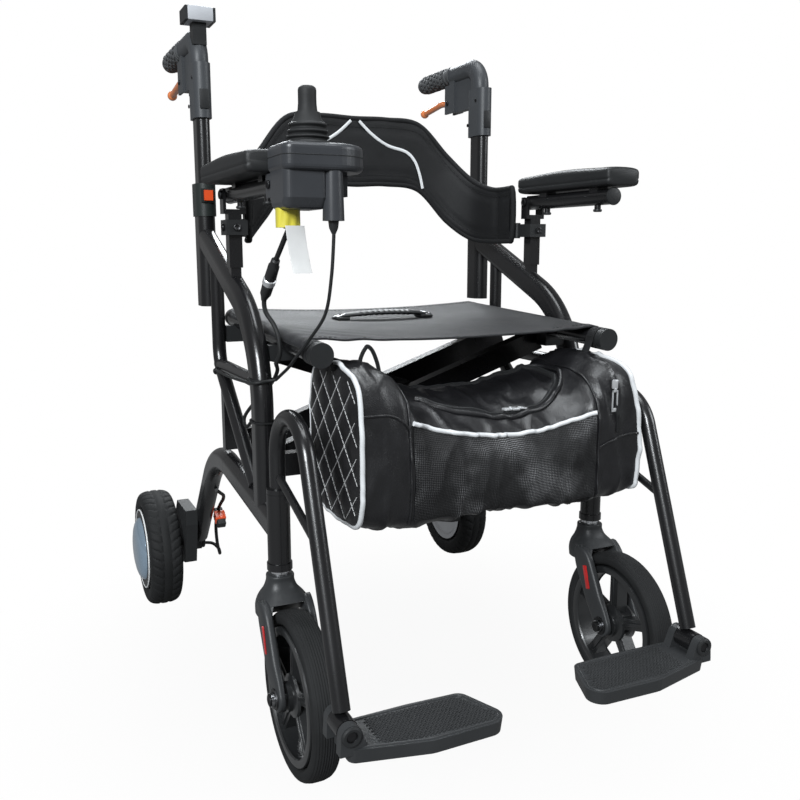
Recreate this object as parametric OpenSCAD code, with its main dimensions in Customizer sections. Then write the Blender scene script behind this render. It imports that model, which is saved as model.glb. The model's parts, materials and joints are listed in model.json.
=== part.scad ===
/* [Stance] */
// Half distance between the two side frames
frame_x = 240; // [225:1:255]
// Distance from the front wheel axle to the rear wheel axle
wheelbase = 610; // [580:1:640]
// Diameter of all four wheels
wheel_d = 203; // [190:1:210]
// Half distance between the rear wheels
rear_x = 303; // [300:1:310]

/* [Frame tubes] */
// Depth of the oval frame tube seen from the side
tube_w = 38; // [34:1:40]
// Thickness of the oval frame tube across the chair
tube_t = 25; // [22:1:26]
// Bend radius of the side hoop
hoop_r = 150; // [120:1:160]
// Place of the upright front leg behind the front axle
leg_y = 131; // [125:1:140]
// Height where the front leg meets the lower tube
leg_z = 300; // [295:1:305]
// Slope of the hoop behind its bend
hoop_slope = 23; // [18:1:26]
// Thickness of the rear leg bar
bar_t = 20; // [16:1:22]
// Place of the upright rear leg behind the front axle
rear_leg_y = 352; // [340:1:356]

/* [Handles] */
// Place of the handle posts behind the front axle
post_y = 415; // [410:1:425]
// Depth of the oval handle post
post_w = 40; // [36:1:42]
// Thickness of the oval handle post
post_t = 20; // [18:1:22]
// Wall of the sleeve round the post
sleeve_wall = 2.5; // [2:0.5:3]
// Lower end of the sleeve
sleeve_z0 = 545; // [535:1:555]
// Upper end of the sleeve
sleeve_z1 = 726; // [715:1:735]
// Height of the grip's middle line
grip_z = 938; // [930:1:950]
// Height of the handle housing under the grip's middle line
housing_h = 116; // [105:1:120]
// Diameter of the grip
grip_d = 30; // [28:1:34]
// Length of the grip
grip_len = 128; // [110:1:140]

/* [Seat and cross brace] */
// Half distance between the seat rails
rail_x = 205; // [200:1:208]
// Diameter of the seat rails
rail_d = 25; // [22:1:26]
// Height of the rail's middle line above the cross brace
rail_z = 520; // [515:1:525]
// Rise of the rail towards the back, in degrees
rail_tilt = 2.3; // [0:0.1:3]
// Height of the lower brace pivots
pivot_z = 355; // [350:1:360]
// Height of a brace bar
brace_h = 30; // [24:1:32]
// Thickness of a brace bar
brace_t = 20; // [16:1:20]
// Rise of the bars from the lower pivot to the rail
brace_rise = 142; // [138:1:144]
// Diameter of the pivot pins
pin_d = 12; // [10:0.5:14]

/* [Armrests] */
// Length of the arm pad
pad_len = 224; // [200:1:240]
// Width of the arm pad
pad_w = 60; // [54:1:62]
// Thickness of the arm pad
pad_t = 30; // [24:1:32]
// Height of the arm tube's middle line
arm_z = 703; // [700:1:708]
// Diameter of the arm tube
arm_d = 22; // [20:1:24]
// Place of the armrest post behind the front axle
arm_y = 245; // [240:1:250]
// Outside size of the square armrest post
arm_post = 18; // [17:1:20]

/* [Footrests] */
// Diameter of the footrest tube
hanger_d = 20; // [18:1:22]
// Place of the caster stem behind the front axle
stem_y = 72; // [68:1:76]
// Lean of the footrest tube's front leg, in degrees
hanger_lean = 20.5; // [19:0.5:22]
// Radius of the footrest tube's top bend
hanger_bend = 59.5; // [55:0.5:62]
// Height of the footplate pivot
plate_pivot_z = 135; // [130:1:145]
// Place of the footplate pivot ahead of the front axle
plate_pivot_y = 140; // [136:1:142]
// Distance from the chair's middle to the footplate's inner end
plate_inner = 60; // [58:1:70]
// Depth of the footplate from front to back
plate_depth = 78; // [70:1:80]

/* [Hidden] */
$fn = 48;

// Clearances between pieces
gap = 0.3;
pin_gap = 0.05;

// Driving places worked out from the sizes above
wheel_r = wheel_d / 2;
plate_front = plate_pivot_y + plate_depth * 0.6;
mid_y = (wheelbase + wheel_r - plate_front) / 2;
hoop_end_z = 430;
brace_slope = atan(brace_rise / (2 * rail_x));
brace_len = 2 * rail_x / cos(brace_slope);
brace_mid_z = pivot_z + brace_rise / 2;
brace_ys = [165, 190, 250, 275];
pivot_y0 = leg_y + 12;
pivot_y1 = 300;
pivot_od = 24;
lower_z = leg_z - 12;
rear_mount_y = 548;
rear_mount_z = 138;
housing_z = grip_z - housing_h;
crown_z = wheel_d + 14;
brace_mid_y = 230;

// Puts the chair's middle over the origin
module placed() {
    translate([0, -mid_y, 0]) children();
}

// A left piece as drawn, or mirrored to the right
module side(right) {
    placed() mirror([right ? 1 : 0, 0, 0]) children();
}

// Flat oval with its long way along the second axis
module oval(across, along) {
    r = across / 2;
    rise = (along - across) / 2;
    if (rise > 0) {
        square([across, 2 * rise], center = true);
        for (s = [-1, 1]) translate([0, s * rise]) circle(r);
    } else {
        circle(r);
    }
}

function heading(a, b) = atan2(b[1] - a[1], b[0] - a[0]);
function wrap(a) = a > 180 ? a - 360 : a < -180 ? a + 360 : a;
function turn(p, i) = wrap(heading(p[i], p[i + 1]) - heading(p[i - 1], p[i]));
function trim(p, r, i) = i == 0 || i == len(p) - 1 ? 0 : r[i] * tan(abs(turn(p, i)) / 2);

// Tube of flat oval section bent along [y, z] points, with a radius at each point
// Each straight run laps a little into its bends, which are a hair fuller
bend_lap = 1;
bend_step = 0.1;
module bent_tube(p, r, across, along) {
    last = len(p) - 2;
    for (i = [0 : last]) {
        a = heading(p[i], p[i + 1]);
        d0 = trim(p, r, i) - (i > 0 ? bend_lap : 0);
        d1 = trim(p, r, i + 1) - (i < last ? bend_lap : 0);
        run = norm(p[i + 1] - p[i]) - d0 - d1;
        translate([0, p[i][0] + d0 * cos(a), p[i][1] + d0 * sin(a)])
            rotate([a - 90, 0, 0])
                linear_extrude(run) oval(across, along);
    }
    for (i = [1 : 1 : last]) {
        a = heading(p[i - 1], p[i]);
        t = turn(p, i);
        s = sign(t);
        d = trim(p, r, i);
        c = p[i] - d * [cos(a), sin(a)] + s * r[i] * [-sin(a), cos(a)];
        start = s > 0 ? a - 90 : a + 90 + t;
        translate([0, c[0], c[1]]) rotate([90, 0, 90]) rotate([0, 0, start])
            rotate_extrude(angle = abs(t)) translate([r[i], 0]) rotate(90)
                oval(across + bend_step, along + bend_step);
    }
}

// Round bar along X, Y or Z from a point
module bar_x(d, x0, x1, y, z) {
    translate([x0, y, z]) rotate([0, 90, 0]) cylinder(d = d, h = x1 - x0);
}
module bar_y(d, y0, y1, x, z) {
    translate([x, y0, z]) rotate([-90, 0, 0]) cylinder(d = d, h = y1 - y0);
}
module block(p0, p1) {
    translate(p0) cube(p1 - p0);
}

// Tube swept along hand chosen points with a round section
function unit(v) = v / norm(v);
function tangent(p, i) = unit(p[min(i + 1, len(p) - 1)] - p[max(i - 1, 0)]);
function side_way(t) = abs(t[2]) > 0.9 ? unit(cross(t, [1, 0, 0])) : unit(cross(t, [0, 0, 1]));
function smooth_at(p, i, u) =
    let(a = p[max(i - 1, 0)], b = p[i], c = p[i + 1], d = p[min(i + 2, len(p) - 1)])
    0.5 * (2 * b + (c - a) * u + (2 * a - 5 * b + 4 * c - d) * u * u + (3 * b - a - 3 * c + d) * u * u * u);
function smooth(p, n) = concat(
    [for (i = [0 : len(p) - 2]) for (k = [0 : n - 1]) smooth_at(p, i, k / n)], [p[len(p) - 1]]);
module lead(points, d, steps, sides) {
    p = smooth(points, steps);
    n = len(p);
    rings = [for (i = [0 : n - 1])
        let(t = tangent(p, i), a = side_way(t), b = cross(t, a))
        for (k = [0 : sides - 1]) p[i] + d / 2 * (cos(360 * k / sides) * a + sin(360 * k / sides) * b)];
    walls = [for (i = [0 : n - 2]) for (k = [0 : sides - 1])
        let(a = i * sides + k, b = i * sides + (k + 1) % sides)
        each [[a, a + sides, b], [b, a + sides, b + sides]]];
    caps = [[for (k = [0 : sides - 1]) k], [for (k = [sides - 1 : -1 : 0]) (n - 1) * sides + k]];
    polyhedron(rings, concat(walls, caps), convexity = 6);
}

// Welded side frame
function hoop_z(y) = hoop_corner_z + (y - leg_y) * tan(hoop_slope);
hoop_corner_z = hoop_end_z + hoop_r * tan((90 - hoop_slope) / 2);
hoop_points = [[post_y, hoop_z(post_y)], [leg_y, hoop_corner_z], [leg_y, leg_z]];
lower_points = [[stem_y, lower_z], [385, leg_z + 24], [rear_mount_y, rear_mount_z]];
rear_leg_points = [[rear_leg_y, hoop_z(rear_leg_y) - 6], [rear_leg_y, 465], [172, 318]];
side_bar_z = 462;
head_z0 = crown_z + 19;
head_z1 = 334;
head_d = 29;
arm_stub = arm_post - 2 * 1.8 - 0.4;

module frame_side() {
    difference() {
        union() {
            bent_tube(hoop_points, [0, hoop_r, 0], tube_t, tube_w);
            bent_tube(lower_points, [0, 150, 0], tube_t, tube_w);
            bent_tube(rear_leg_points, [0, 55, 0], bar_t - 0.4, bar_t);
            bar_y(18, leg_y, rear_leg_y, 0, side_bar_z);
            translate([0, stem_y, head_z0]) cylinder(d = head_d, h = head_z1 - head_z0);
            translate([0, stem_y, head_z0]) cylinder(d = head_d + 3, h = 9);
            translate([0, post_y, sleeve_z0]) linear_extrude(sleeve_z1 - sleeve_z0)
                oval(post_t + 2 * gap + 2 * sleeve_wall, post_w + 2 * gap + 2 * sleeve_wall);
            translate([-arm_stub / 2, arm_y - arm_stub / 2, hoop_z(arm_y)])
                cube([arm_stub, arm_stub, 62]);
            // Lugs that hold the lower brace pivot
            block([0, leg_y - 8, pivot_z - 15], [frame_x - rail_x + 12, leg_y + 10, pivot_z + 15]);
            block([0, pivot_y1 + 2, pivot_z - 15], [frame_x - rail_x + 12, pivot_y1 + 18, pivot_z + 15]);
            block([-8, pivot_y1 + 2, pivot_z - 15], [8, pivot_y1 + 18, 430]);
            bar_y(pin_d, leg_y, pivot_y1 + 12, frame_x - rail_x, pivot_z);
        }
        translate([0, post_y, sleeve_z0 + 8]) linear_extrude(sleeve_z1 - sleeve_z0)
            oval(post_t + 2 * gap, post_w + 2 * gap);
        translate([0, stem_y, head_z1 - 50]) cylinder(d = hanger_d + 2 * pin_gap, h = 90);
        translate([0, stem_y, head_z0 - 1]) cylinder(d = stem_d + 2 * pin_gap, h = 31);
        translate([0, post_y - post_w, button_z]) rotate([-90, 0, 0]) cylinder(d = 8, h = post_w);
    }
}
module frame_left() {
    color("#1c1d1f") side(false) translate([-frame_x, 0, 0]) frame_side();
}
module frame_right() {
    color("#1c1d1f") side(true) translate([-frame_x, 0, 0]) frame_side();
}

// Moulded collar at the top of the sleeve, with height holes and a button seat
collar_h = 46;
collar_wall = 2.2;
button_z = sleeve_z1 - 16;
sleeve_across = post_t + 2 * gap + 2 * sleeve_wall;
sleeve_along = post_w + 2 * gap + 2 * sleeve_wall;
button_size = [13, 5, 15];
button_press = 3;
collar_front = post_y - sleeve_along / 2 - collar_wall;
module height_collar(right) {
    color("#2b302f") side(right) translate([-frame_x, 0, 0]) difference() {
        union() {
            translate([0, post_y, sleeve_z1 - collar_h]) linear_extrude(collar_h + 2)
                oval(sleeve_across + 2 * collar_wall, sleeve_along + 2 * collar_wall);
            translate([-9.5, collar_front - 3, button_z - 10]) cube([19, 12, 20]);
        }
        translate([0, post_y, sleeve_z1 - collar_h - 1]) linear_extrude(collar_h + 1)
            oval(sleeve_across + 2 * pin_gap, sleeve_along + 2 * pin_gap);
        translate([0, post_y, sleeve_z1 - 1]) linear_extrude(5)
            oval(post_t + 2 * gap, post_w + 2 * gap);
        translate([-button_size[0] / 2 - gap, collar_front - 5, button_z - button_size[2] / 2 - gap])
            cube([button_size[0] + 2 * gap, 30, button_size[2] + 2 * gap]);
        for (i = [0 : 4]) bar_x(4, -30, -10, post_y + 8, sleeve_z1 - collar_h + 7 + 7 * i);
    }
}
module height_button(right) {
    front = collar_front - 6;
    color("#e2572f") side(right) translate([-frame_x, 0, 0]) union() {
        translate([-button_size[0] / 2, front, button_z - button_size[2] / 2]) cube(button_size);
        bar_y(7, front + 4, front + 4.5 + button_press, 0, button_z);
    }
}

// Handle post, housing, grip and lever
post_bottom = 640;
module handle_post(right) {
    color("#26282a") side(right) translate([-frame_x, post_y, post_bottom])
        linear_extrude(housing_z - post_bottom + 40) oval(post_t, post_w);
}
housing_across = 26;
housing_along = 52;
arm_h = 32;
grip_y0 = post_y + 92;
lever_y = post_y + 99;
lever_z = grip_z - 48;
lever_pin = 5;
display_y = post_y - 2;
display_z = grip_z - 12;
display_foot = 20;
module handle_housing(right) {
    color("#3a3d40") side(right) translate([-frame_x, 0, 0]) {
        handle_shell(right);
        bar_x(lever_pin, -8, 8, lever_y, lever_z);
    }
}
module handle_shell(right) {
    difference() {
        union() {
            bent_tube([[post_y, housing_z], [post_y, grip_z], [grip_y0, grip_z]], [0, 34, 0],
                housing_across, arm_h);
            translate([0, post_y, housing_z]) linear_extrude(78) oval(housing_across, housing_along);
            block([-10, post_y + 75, lever_z - 18], [10, grip_y0, grip_z]);
            block([-10, post_y + 75, lever_z - 18], [10, lever_y + 10, grip_z - grip_d / 2 - 2]);
            translate([-6, post_y + 10, lever_z - 18]) cube([12, 70, grip_z - lever_z + 10]);
        }
        translate([0, post_y, housing_z - 1]) linear_extrude(41.2) oval(post_t + 0.1, post_w + 0.1);
        // Slot for the lever
        translate([-6.5, lever_y - 14, lever_z - 40]) cube([13, 60, 58]);
        // Seat of the display box
        if (!right) translate([-display_foot / 2 - gap, display_y - display_foot / 2 - gap, display_z])
            cube([display_foot + 2 * gap, display_foot + 2 * gap, 60]);
        // Screw holes on both sides
        for (s = [-1, 1]) bar_x(6, s > 0 ? 6 : -20, s > 0 ? 20 : -6, post_y - 8, housing_z + 58);
    }
}
module hand_grip(right) {
    ribs = 9;
    rib_step = (grip_len - 34) / ribs;
    color("#4a4d4f") side(right) translate([-frame_x, grip_y0 + gap, grip_z])
        rotate([-90, 0, 0]) rotate_extrude() polygon(concat(
            [[0, 0], [grip_d / 2 + 1, 0], [grip_d / 2 + 1, 4]],
            [for (i = [0 : ribs - 1]) each [
                [grip_d / 2 - 1.2, 8 + i * rib_step], [grip_d / 2 - 1.2, 8 + (i + 0.45) * rib_step],
                [grip_d / 2, 8 + (i + 0.55) * rib_step], [grip_d / 2, 8 + (i + 0.9) * rib_step]]],
            [for (a = [0 : 15 : 90]) [grip_d / 2 * cos(a), grip_len - 15 + 15 * sin(a)]]));
}
lever_len = 122;
module brake_lever(right) {
    color("#f08a55") side(right) translate([-frame_x, 0, 0]) difference() {
        union() {
            bar_x(16, -6, 6, lever_y, lever_z);
            bent_tube([[lever_y, lever_z], [lever_y + 40, lever_z + 5],
                [lever_y + lever_len - 14, lever_z - 3]], [0, 80, 0], 11, 11);
            translate([0, lever_y + lever_len - 12, lever_z - 3]) sphere(d = 16);
        }
        bar_x(lever_pin + 2 * pin_gap, -20, 20, lever_y, lever_z);
    }
}

// Pale display box over the left handle
module display_unit() {
    top = grip_z + arm_h / 2;
    color("#b9bcbe") placed() translate([-frame_x, display_y, 0]) union() {
        translate([-display_foot / 2, -display_foot / 2, display_z])
            cube([display_foot, display_foot, top + 4 - display_z]);
        translate([-22, -20, top + 3]) cube([44, 40, 19]);
    }
}

// Saddles that the seat rails rest in
function rail_at(y) = rail_z + (y - brace_mid_y) * tan(rail_tilt);
module rail_saddles(right) {
    r = rail_d / 2 + gap;
    in_x = frame_x - rail_x;
    color("#17181a") side(right) translate([-frame_x, 0, 0]) difference() {
        union() {
            block([(tube_t + bend_step) / 2, leg_y + 3, rail_at(leg_y) - 26],
                [in_x + 10, leg_y + 27, rail_at(leg_y) - 6]);
            block([bar_t / 2, rear_leg_y - 10, rail_at(rear_leg_y) - 30],
                [in_x + 10, rear_leg_y + 10, rail_at(rear_leg_y) - 6]);
        }
        translate([in_x, 0, rail_at(0)]) rotate([rail_tilt - 90, 0, 0])
            cylinder(r = r, h = 460);
    }
}

// Square armrest post over its stub, with hinge ears on top
ear_y = 9;
arm_pin = 7;
module arm_post_piece(right) {
    z0 = hoop_z(arm_y) + tube_w / 2 + 10;
    z1 = arm_z - 25;
    color("#1e1f21") side(right) translate([-frame_x, arm_y, 0]) union() {
        difference() {
            translate([-arm_post / 2, -arm_post / 2, z0]) cube([arm_post, arm_post, z1 - z0]);
            translate([-arm_stub / 2 - 0.2, -arm_stub / 2 - 0.2, z0 - 1])
                cube([arm_stub + 0.4, arm_stub + 0.4, hoop_z(arm_y) + 62.4 - z0 + 1]);
        }
        translate([-arm_d / 2 - 4.5, -ear_y, z1]) cube([arm_d + 9, 2 * ear_y, 6]);
        for (s = [-1, 1]) translate([s * (arm_d / 2 + 2.5) - 2, -ear_y, z1]) cube([4, 2 * ear_y, 33]);
        bar_x(arm_pin, -arm_d / 2 - 1, arm_d / 2 + 1, 0, arm_z);
    }
}

// Clamp on the post that holds the back band's hinge
clamp_z0 = 650;
clamp_z1 = 670;
band_pin = 10;
band_end_x = rail_x + (rail_d + band_pin) / 2 + 0.5;
band_end_y = arm_y + 17;
module band_clamp(right) {
    color("#25272a") side(right) union() {
        difference() {
            translate([-frame_x - 14, arm_y - 17, clamp_z0]) cube([29, 31, clamp_z1 - clamp_z0]);
            translate([-frame_x - arm_post / 2, arm_y - arm_post / 2, clamp_z0 - 1])
                cube([arm_post, arm_post, 60]);
        }
        block([-frame_x + arm_post / 2, arm_y + 6, clamp_z0], [-band_end_x + 1, band_end_y + 3, clamp_z1]);
        translate([-band_end_x, band_end_y, clamp_z0 - 2]) cylinder(d = band_pin, h = clamp_z1 - clamp_z0 + 4);
    }
}

// Front caster: moulded fork, steel stem and axle, rim and tyre
stem_d = 16;
caster_w = 34;
fork_in = caster_w / 2 + 4;
fork_t = 11;
axle_d = 10;
fork_neck = 17;
fork_dome = 33;
module fork_arm(x) {
    hull() {
        translate([x, 0, wheel_r]) rotate([0, 90, 0]) cylinder(d = 32, h = fork_t, $fn = 32);
        translate([x, stem_y - 14, crown_z - 14]) rotate([0, 90, 0]) cylinder(d = 38, h = fork_t, $fn = 32);
    }
}
module caster_fork(right) {
    wide = fork_in + fork_t;
    color("#2e3134") side(right) translate([-frame_x, 0, 0]) difference() {
        intersection() {
            union() {
                for (x = [-wide, fork_in]) fork_arm(x);
                difference() {
                    translate([-wide, stem_y - 32, crown_z - 26]) cube([2 * wide, 49, 39]);
                    bar_x(wheel_d + 10, -60, 60, 0, wheel_r);
                }
            }
            translate([0, stem_y, crown_z - 26]) rotate_extrude() polygon(concat(
                [[0, -wheel_r - 60], [90, -wheel_r - 60], [90, -40], [fork_neck + fork_dome, 0]],
                [for (a = [10 : 10 : 80]) [fork_neck + fork_dome * cos(a), fork_dome * sin(a)]],
                [[fork_neck, fork_dome], [fork_neck, 39], [0, 39]]));
        }
        bar_x(axle_d + 2 * pin_gap, -60, 60, 0, wheel_r);
        translate([0, stem_y, crown_z - 30]) cylinder(d = stem_d + 2 * pin_gap, h = 80);
    }
}
module caster_hardware(right) {
    color("#c8cacc") side(right) translate([-frame_x, 0, 0]) {
        union() {
            translate([0, stem_y, crown_z - 4]) cylinder(d = stem_d, h = head_z0 + 28 - crown_z + 4);
            translate([0, stem_y, head_z0 - 6]) cylinder(d = 24, h = 6 - gap);
        }
        union() {
            bar_x(axle_d, -fork_in - fork_t - 1, fork_in + fork_t + 1, 0, wheel_r);
            for (s = [-1, 1]) bar_x(17, s > 0 ? fork_in + fork_t : -fork_in - fork_t - 6,
                s > 0 ? fork_in + fork_t + 6 : -fork_in - fork_t, 0, wheel_r);
        }
    }
}

// Ring turned about the wheel axle, from [radius, across] points
module wheel_turn(points, x, y) {
    translate([x, y, wheel_r]) rotate([0, 90, 0]) rotate_extrude($fn = 96) polygon(points);
}
function round_tread(r0, r1, w, n) = concat([[r0, -w / 2], [r0, w / 2]],
    [for (i = [0 : n]) let(a = 90 - 180 * i / n) [r1 - w * 0.42 + w * 0.42 * cos(a), w / 2 * sin(a)]]);
caster_bead = wheel_r - 19;
module caster_tyre(right) {
    color("#232526") side(right)
        wheel_turn(round_tread(caster_bead + 0.1, wheel_r, caster_w, 12), -frame_x, 0);
}
module caster_rim(right) {
    spokes = 5;
    color("#191a1b") side(right) difference() {
        union() {
            wheel_turn([[caster_bead - 9, -caster_w / 2 + 1], [caster_bead, -caster_w / 2 + 1],
                [caster_bead, caster_w / 2 - 1], [caster_bead - 9, caster_w / 2 - 1]], -frame_x, 0);
            wheel_turn([[0, -fork_in + gap + 1], [18, -fork_in + gap + 1],
                [18, fork_in - gap - 1], [0, fork_in - gap - 1]], -frame_x, 0);
            for (i = [0 : spokes - 1]) translate([-frame_x, 0, wheel_r]) rotate([360 / spokes * i, 0, 0])
                translate([-9, -8, 12]) cube([18, 16, caster_bead - 16]);
        }
        bar_x(axle_d + 2 * pin_gap, -frame_x - 60, -frame_x + 60, 0, wheel_r);
    }
}

// Rear drive wheel: tyre, hub motor and the moulded bracket that holds its axle
drive_w = 54;
drive_bead = 68;
drive_shaft = 14;
module drive_tyre(right) {
    color("#1f2122") side(right)
        wheel_turn(round_tread(drive_bead + 0.1, wheel_r, drive_w, 12), -rear_x, wheelbase);
}
module drive_hub(right) {
    out = drive_w / 2;
    color("#c3c8cd") side(right) difference() {
        wheel_turn([[0, -out - 14], [30, -out - 13], [46, -out - 9], [54, -out - 1], [drive_bead, -out + 3],
            [drive_bead, out - 3], [60, out - 3], [56, out - 6], [0, out - 6]], -rear_x, wheelbase);
        bar_x(drive_shaft + 2 * pin_gap, -rear_x - 20, -rear_x + 40, wheelbase, wheel_r);
    }
}
plate_x = rear_x - drive_w / 2 - 4;
module motor_bracket(right) {
    inner = frame_x + tube_t / 2;
    color("#202224") side(right) union() {
        hull() {
            bar_x(56, -plate_x, -inner, wheelbase, wheel_r);
            translate([-plate_x, rear_mount_y - 46, wheel_r + 66]) cube([plate_x - inner, 74, 26]);
            translate([-plate_x, rear_mount_y - 26, wheel_r - 6]) cube([plate_x - inner, 20, 20]);
        }
        bar_x(30, -inner, -inner + 26, wheelbase, wheel_r);
        bar_x(drive_shaft, -rear_x - 18, -inner, wheelbase, wheel_r);
    }
}
motor_lead_route = [[-226, 612, 96], [-205, 612, 92], [-196, 600, 84], [-200, 575, 84], [-208, 556, 110],
    [-212, 545, 140], [-214, 530, 165], [-214, 515, 185]];
frame_lead_route = [[-214, 489, 205], [-214, 475, 214], [-217, 458, 226], [-226, 440, 236], [-236, 424, 246.5]];
module motor_lead(right) {
    color("#26282a") side(right) union() {
        lead(motor_lead_route, 6, 2, 8);
        lead(frame_lead_route, 6, 2, 8);
        translate([-214, 516, 184]) rotate([37, 0, 0]) translate([-8, -34, -7]) cube([16, 36, 14]);
    }
}

// Armrest: tube with end cap, pad above
arm_y0 = 42;
arm_y1 = 263;
module arm_tube(right) {
    color("#1b1c1e") side(right) translate([-frame_x, 0, 0]) difference() {
        union() {
            bar_y(arm_d, arm_y0 + 8, arm_y1 - 4, 0, arm_z);
            for (y = [arm_y0 + 40, arm_y - 40]) translate([-9, y - 9, arm_z]) cube([18, 18, arm_d / 2 + 2]);
            for (y = [arm_y0 + 40, arm_y - 40])
                translate([0, y, arm_z - arm_d / 2 - 5]) cylinder(d = 9, h = 12);
        }
        bar_x(arm_pin + 2 * pin_gap, -30, 30, arm_y, arm_z);
    }
}
pad_z = arm_z + arm_d / 2 + 2;
module arm_pad(right) {
    r = 9;
    color("#303235") side(right) translate([-frame_x - 10, 0, pad_z]) hull()
        for (x = [-pad_w / 2 + r, pad_w / 2 - r], end = [0, 1])
            translate([x * (1 - 0.07 * end), arm_y1 - r - end * (pad_len - 2 * r), 0]) {
                cylinder(r1 = r - 2, r2 = r, h = pad_t - r, $fn = 32);
                translate([0, 0, pad_t - r]) sphere(r = r, $fn = 32);
            }
}

// Joystick: case on the left arm, gimbal inside, ribbed boot and knob
stick = [-frame_x + 22, 0];
case_z0 = arm_z + 11;
case_z1 = case_z0 + 29;
case_c = [-frame_x + 40, 2, case_z0];
case_r = 44;
tilt_z = case_z1 - 9;
gimbal_pin = 4;
stick_pin = 3.6;
module soft_disc(r, h, edge) {
    rotate_extrude($fn = 48) polygon(concat([[0, 0]],
        [for (a = [-90 : 22.5 : 0]) [r - edge + edge * cos(a), edge + edge * sin(a)]],
        [for (a = [0 : 22.5 : 90]) [r - edge + edge * cos(a), h - edge + edge * sin(a)]], [[0, h]]));
}
module joystick_case() {
    tall = case_z1 - case_z0;
    color("#2c2e31") placed() difference() {
        union() {
            hull() {
                translate(case_c) soft_disc(case_r, tall, 6);
                for (y = [-28, 18]) translate([-frame_x - 6, y, case_z0]) soft_disc(12, tall, 6);
            }
            hull() for (x = [-frame_x - 7, -frame_x + 25], y = [-25, 17]) {
                translate([x, y, case_z0 - 28]) cylinder(r = 9, h = 30, $fn = 32);
                translate([x, y * 0.85, case_z0 - 40]) soft_disc(9, 20, 7);
            }
            translate([case_c[0], -28, case_z0 - 52]) cylinder(d1 = 24, d2 = 21, h = 54);
            translate([case_c[0] + 24, 10, case_z0 - 24]) cube([8, 22, 26]);
            block([-frame_x - 12, 24, arm_z - 14], [-frame_x + 14, arm_y0 + 8, arm_z + 12]);
        }
        translate([stick[0], stick[1], tilt_z]) sphere(r = 20);
        translate([stick[0], stick[1], tilt_z]) cylinder(r = 20, h = 30);
        bar_x(gimbal_pin + 2 * pin_gap, stick[0] - 26, stick[0] + 26, stick[1], tilt_z);
    }
}
module joystick_gimbal() {
    color("#777777") placed() translate([stick[0], stick[1], tilt_z]) difference() {
        union() {
            cylinder(d = 24, h = 7, center = true);
            bar_x(gimbal_pin, -24, 24, 0, 0);
        }
        cylinder(d = 16, h = 10, center = true);
        bar_y(stick_pin + 2 * pin_gap, -15, 15, 0, 0);
    }
}
boot_z0 = case_z1;
boot_h = 22;
boot_r = 22;
module boot_part(z0, h, r0, r1, ribs, foot) {
    step = h / ribs;
    color("#1d1e20") placed() translate([stick[0], stick[1], z0]) rotate_extrude() polygon(concat(
        [[foot, 0], [foot, 1.2]],
        [for (i = [0 : ribs - 1]) let(r = r0 + (r1 - r0) * i / ribs) each [
            [r - 3, i * step + 1.2], [r, i * step + step * 0.35],
            [r, i * step + step * 0.65], [r - 3, (i + 1) * step]]],
        [[r1 - 7, h], [r0 - 8, 0]]));
}
module boot_lower() {
    boot_part(boot_z0, boot_h / 2, boot_r, boot_r - 4, 2, boot_r + 0.5);
}
module boot_upper() {
    boot_part(boot_z0 + boot_h / 2, boot_h / 2, boot_r - 4, boot_r - 9, 2, boot_r - 7);
}
module joystick_knob() {
    neck = boot_z0 + boot_h + 2 - tilt_z;
    color("#242629") placed() translate([stick[0], stick[1], tilt_z]) union() {
        rotate_extrude() polygon([[0, -2.5], [5, -2.5], [5, neck], [12, neck + 2], [13, neck + 5],
            [9, neck + 11], [8, neck + 19], [9.5, neck + 32], [9, neck + 35.5], [6, neck + 37.5], [0, neck + 38]]);
        bar_y(stick_pin, -11.5, 11.5, 0, 0);
    }
}
stick_lead_route = [[-200, -28, case_z0 - 52.5], [-200, -28, 645], [-202, -24, 600], [-206, -14, 560], [-219, 4, 530],
    [-226, 30, 508], [-226, 60, 492], [-226, 88, 480], [-228, 108, 470]];
plug_lead_route = [[-238, 4, case_z0 - 40.7], [-238, 5, 660], [-239, 30, 640], [-240, 62, 615]];
plug_tail_route = [[-240, 108, 573], [-238, 112, 556], [-230, 106, 540], [-226, 100, 525],
    [-225, 98, 505], [-228, 106, 490]];
module joystick_leads() {
    color("#1a1b1c") placed() {
        lead(stick_lead_route, 4, 2, 8);
        union() {
            lead(plug_lead_route, 6, 2, 8);
            translate([-240, 61, 616]) rotate([-132, 0, 0]) cylinder(d = 14, h = 63);
            lead(plug_tail_route, 6, 2, 8);
        }
    }
}

// Swing-away footrest: bent hanger and folding footplate
barrel_d = 25;
hanger_foot = [-plate_pivot_y + 3, plate_pivot_z + 14];
hanger_peak = [stem_y, hanger_foot[1] + (stem_y - hanger_foot[0]) / tan(hanger_lean)];
module footrest_hanger(right) {
    color("#17181a") side(right) translate([-frame_x, 0, 0]) difference() {
        union() {
            bent_tube([[stem_y, head_z1 - 49], hanger_peak, hanger_foot], [0, hanger_bend, 0],
                hanger_d, hanger_d);
            bent_tube([[stem_y, head_z1 + 24], [-82, head_z1 - 26]], [0, 0], 10, 10);
            bar_y(barrel_d, -plate_pivot_y - 14, -plate_pivot_y + 14, 0, plate_pivot_z);
            translate([0, stem_y, head_z1 + gap]) cylinder(d = head_d, h = 6);
        }
        bar_y(pin_d + 2 * pin_gap, -plate_pivot_y - 60, -plate_pivot_y + 60, 0, plate_pivot_z);
    }
}
plate_y0 = -plate_pivot_y - plate_depth * 0.6;
plate_y1 = -plate_pivot_y + plate_depth * 0.4;
plate_top = plate_pivot_z - 15;
plate_t = 16;
module plate_corner(x, y, r) {
    translate([x, y, plate_top - plate_t]) cylinder(r1 = r - 2, r2 = r, h = plate_t, $fn = 40);
}
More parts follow.
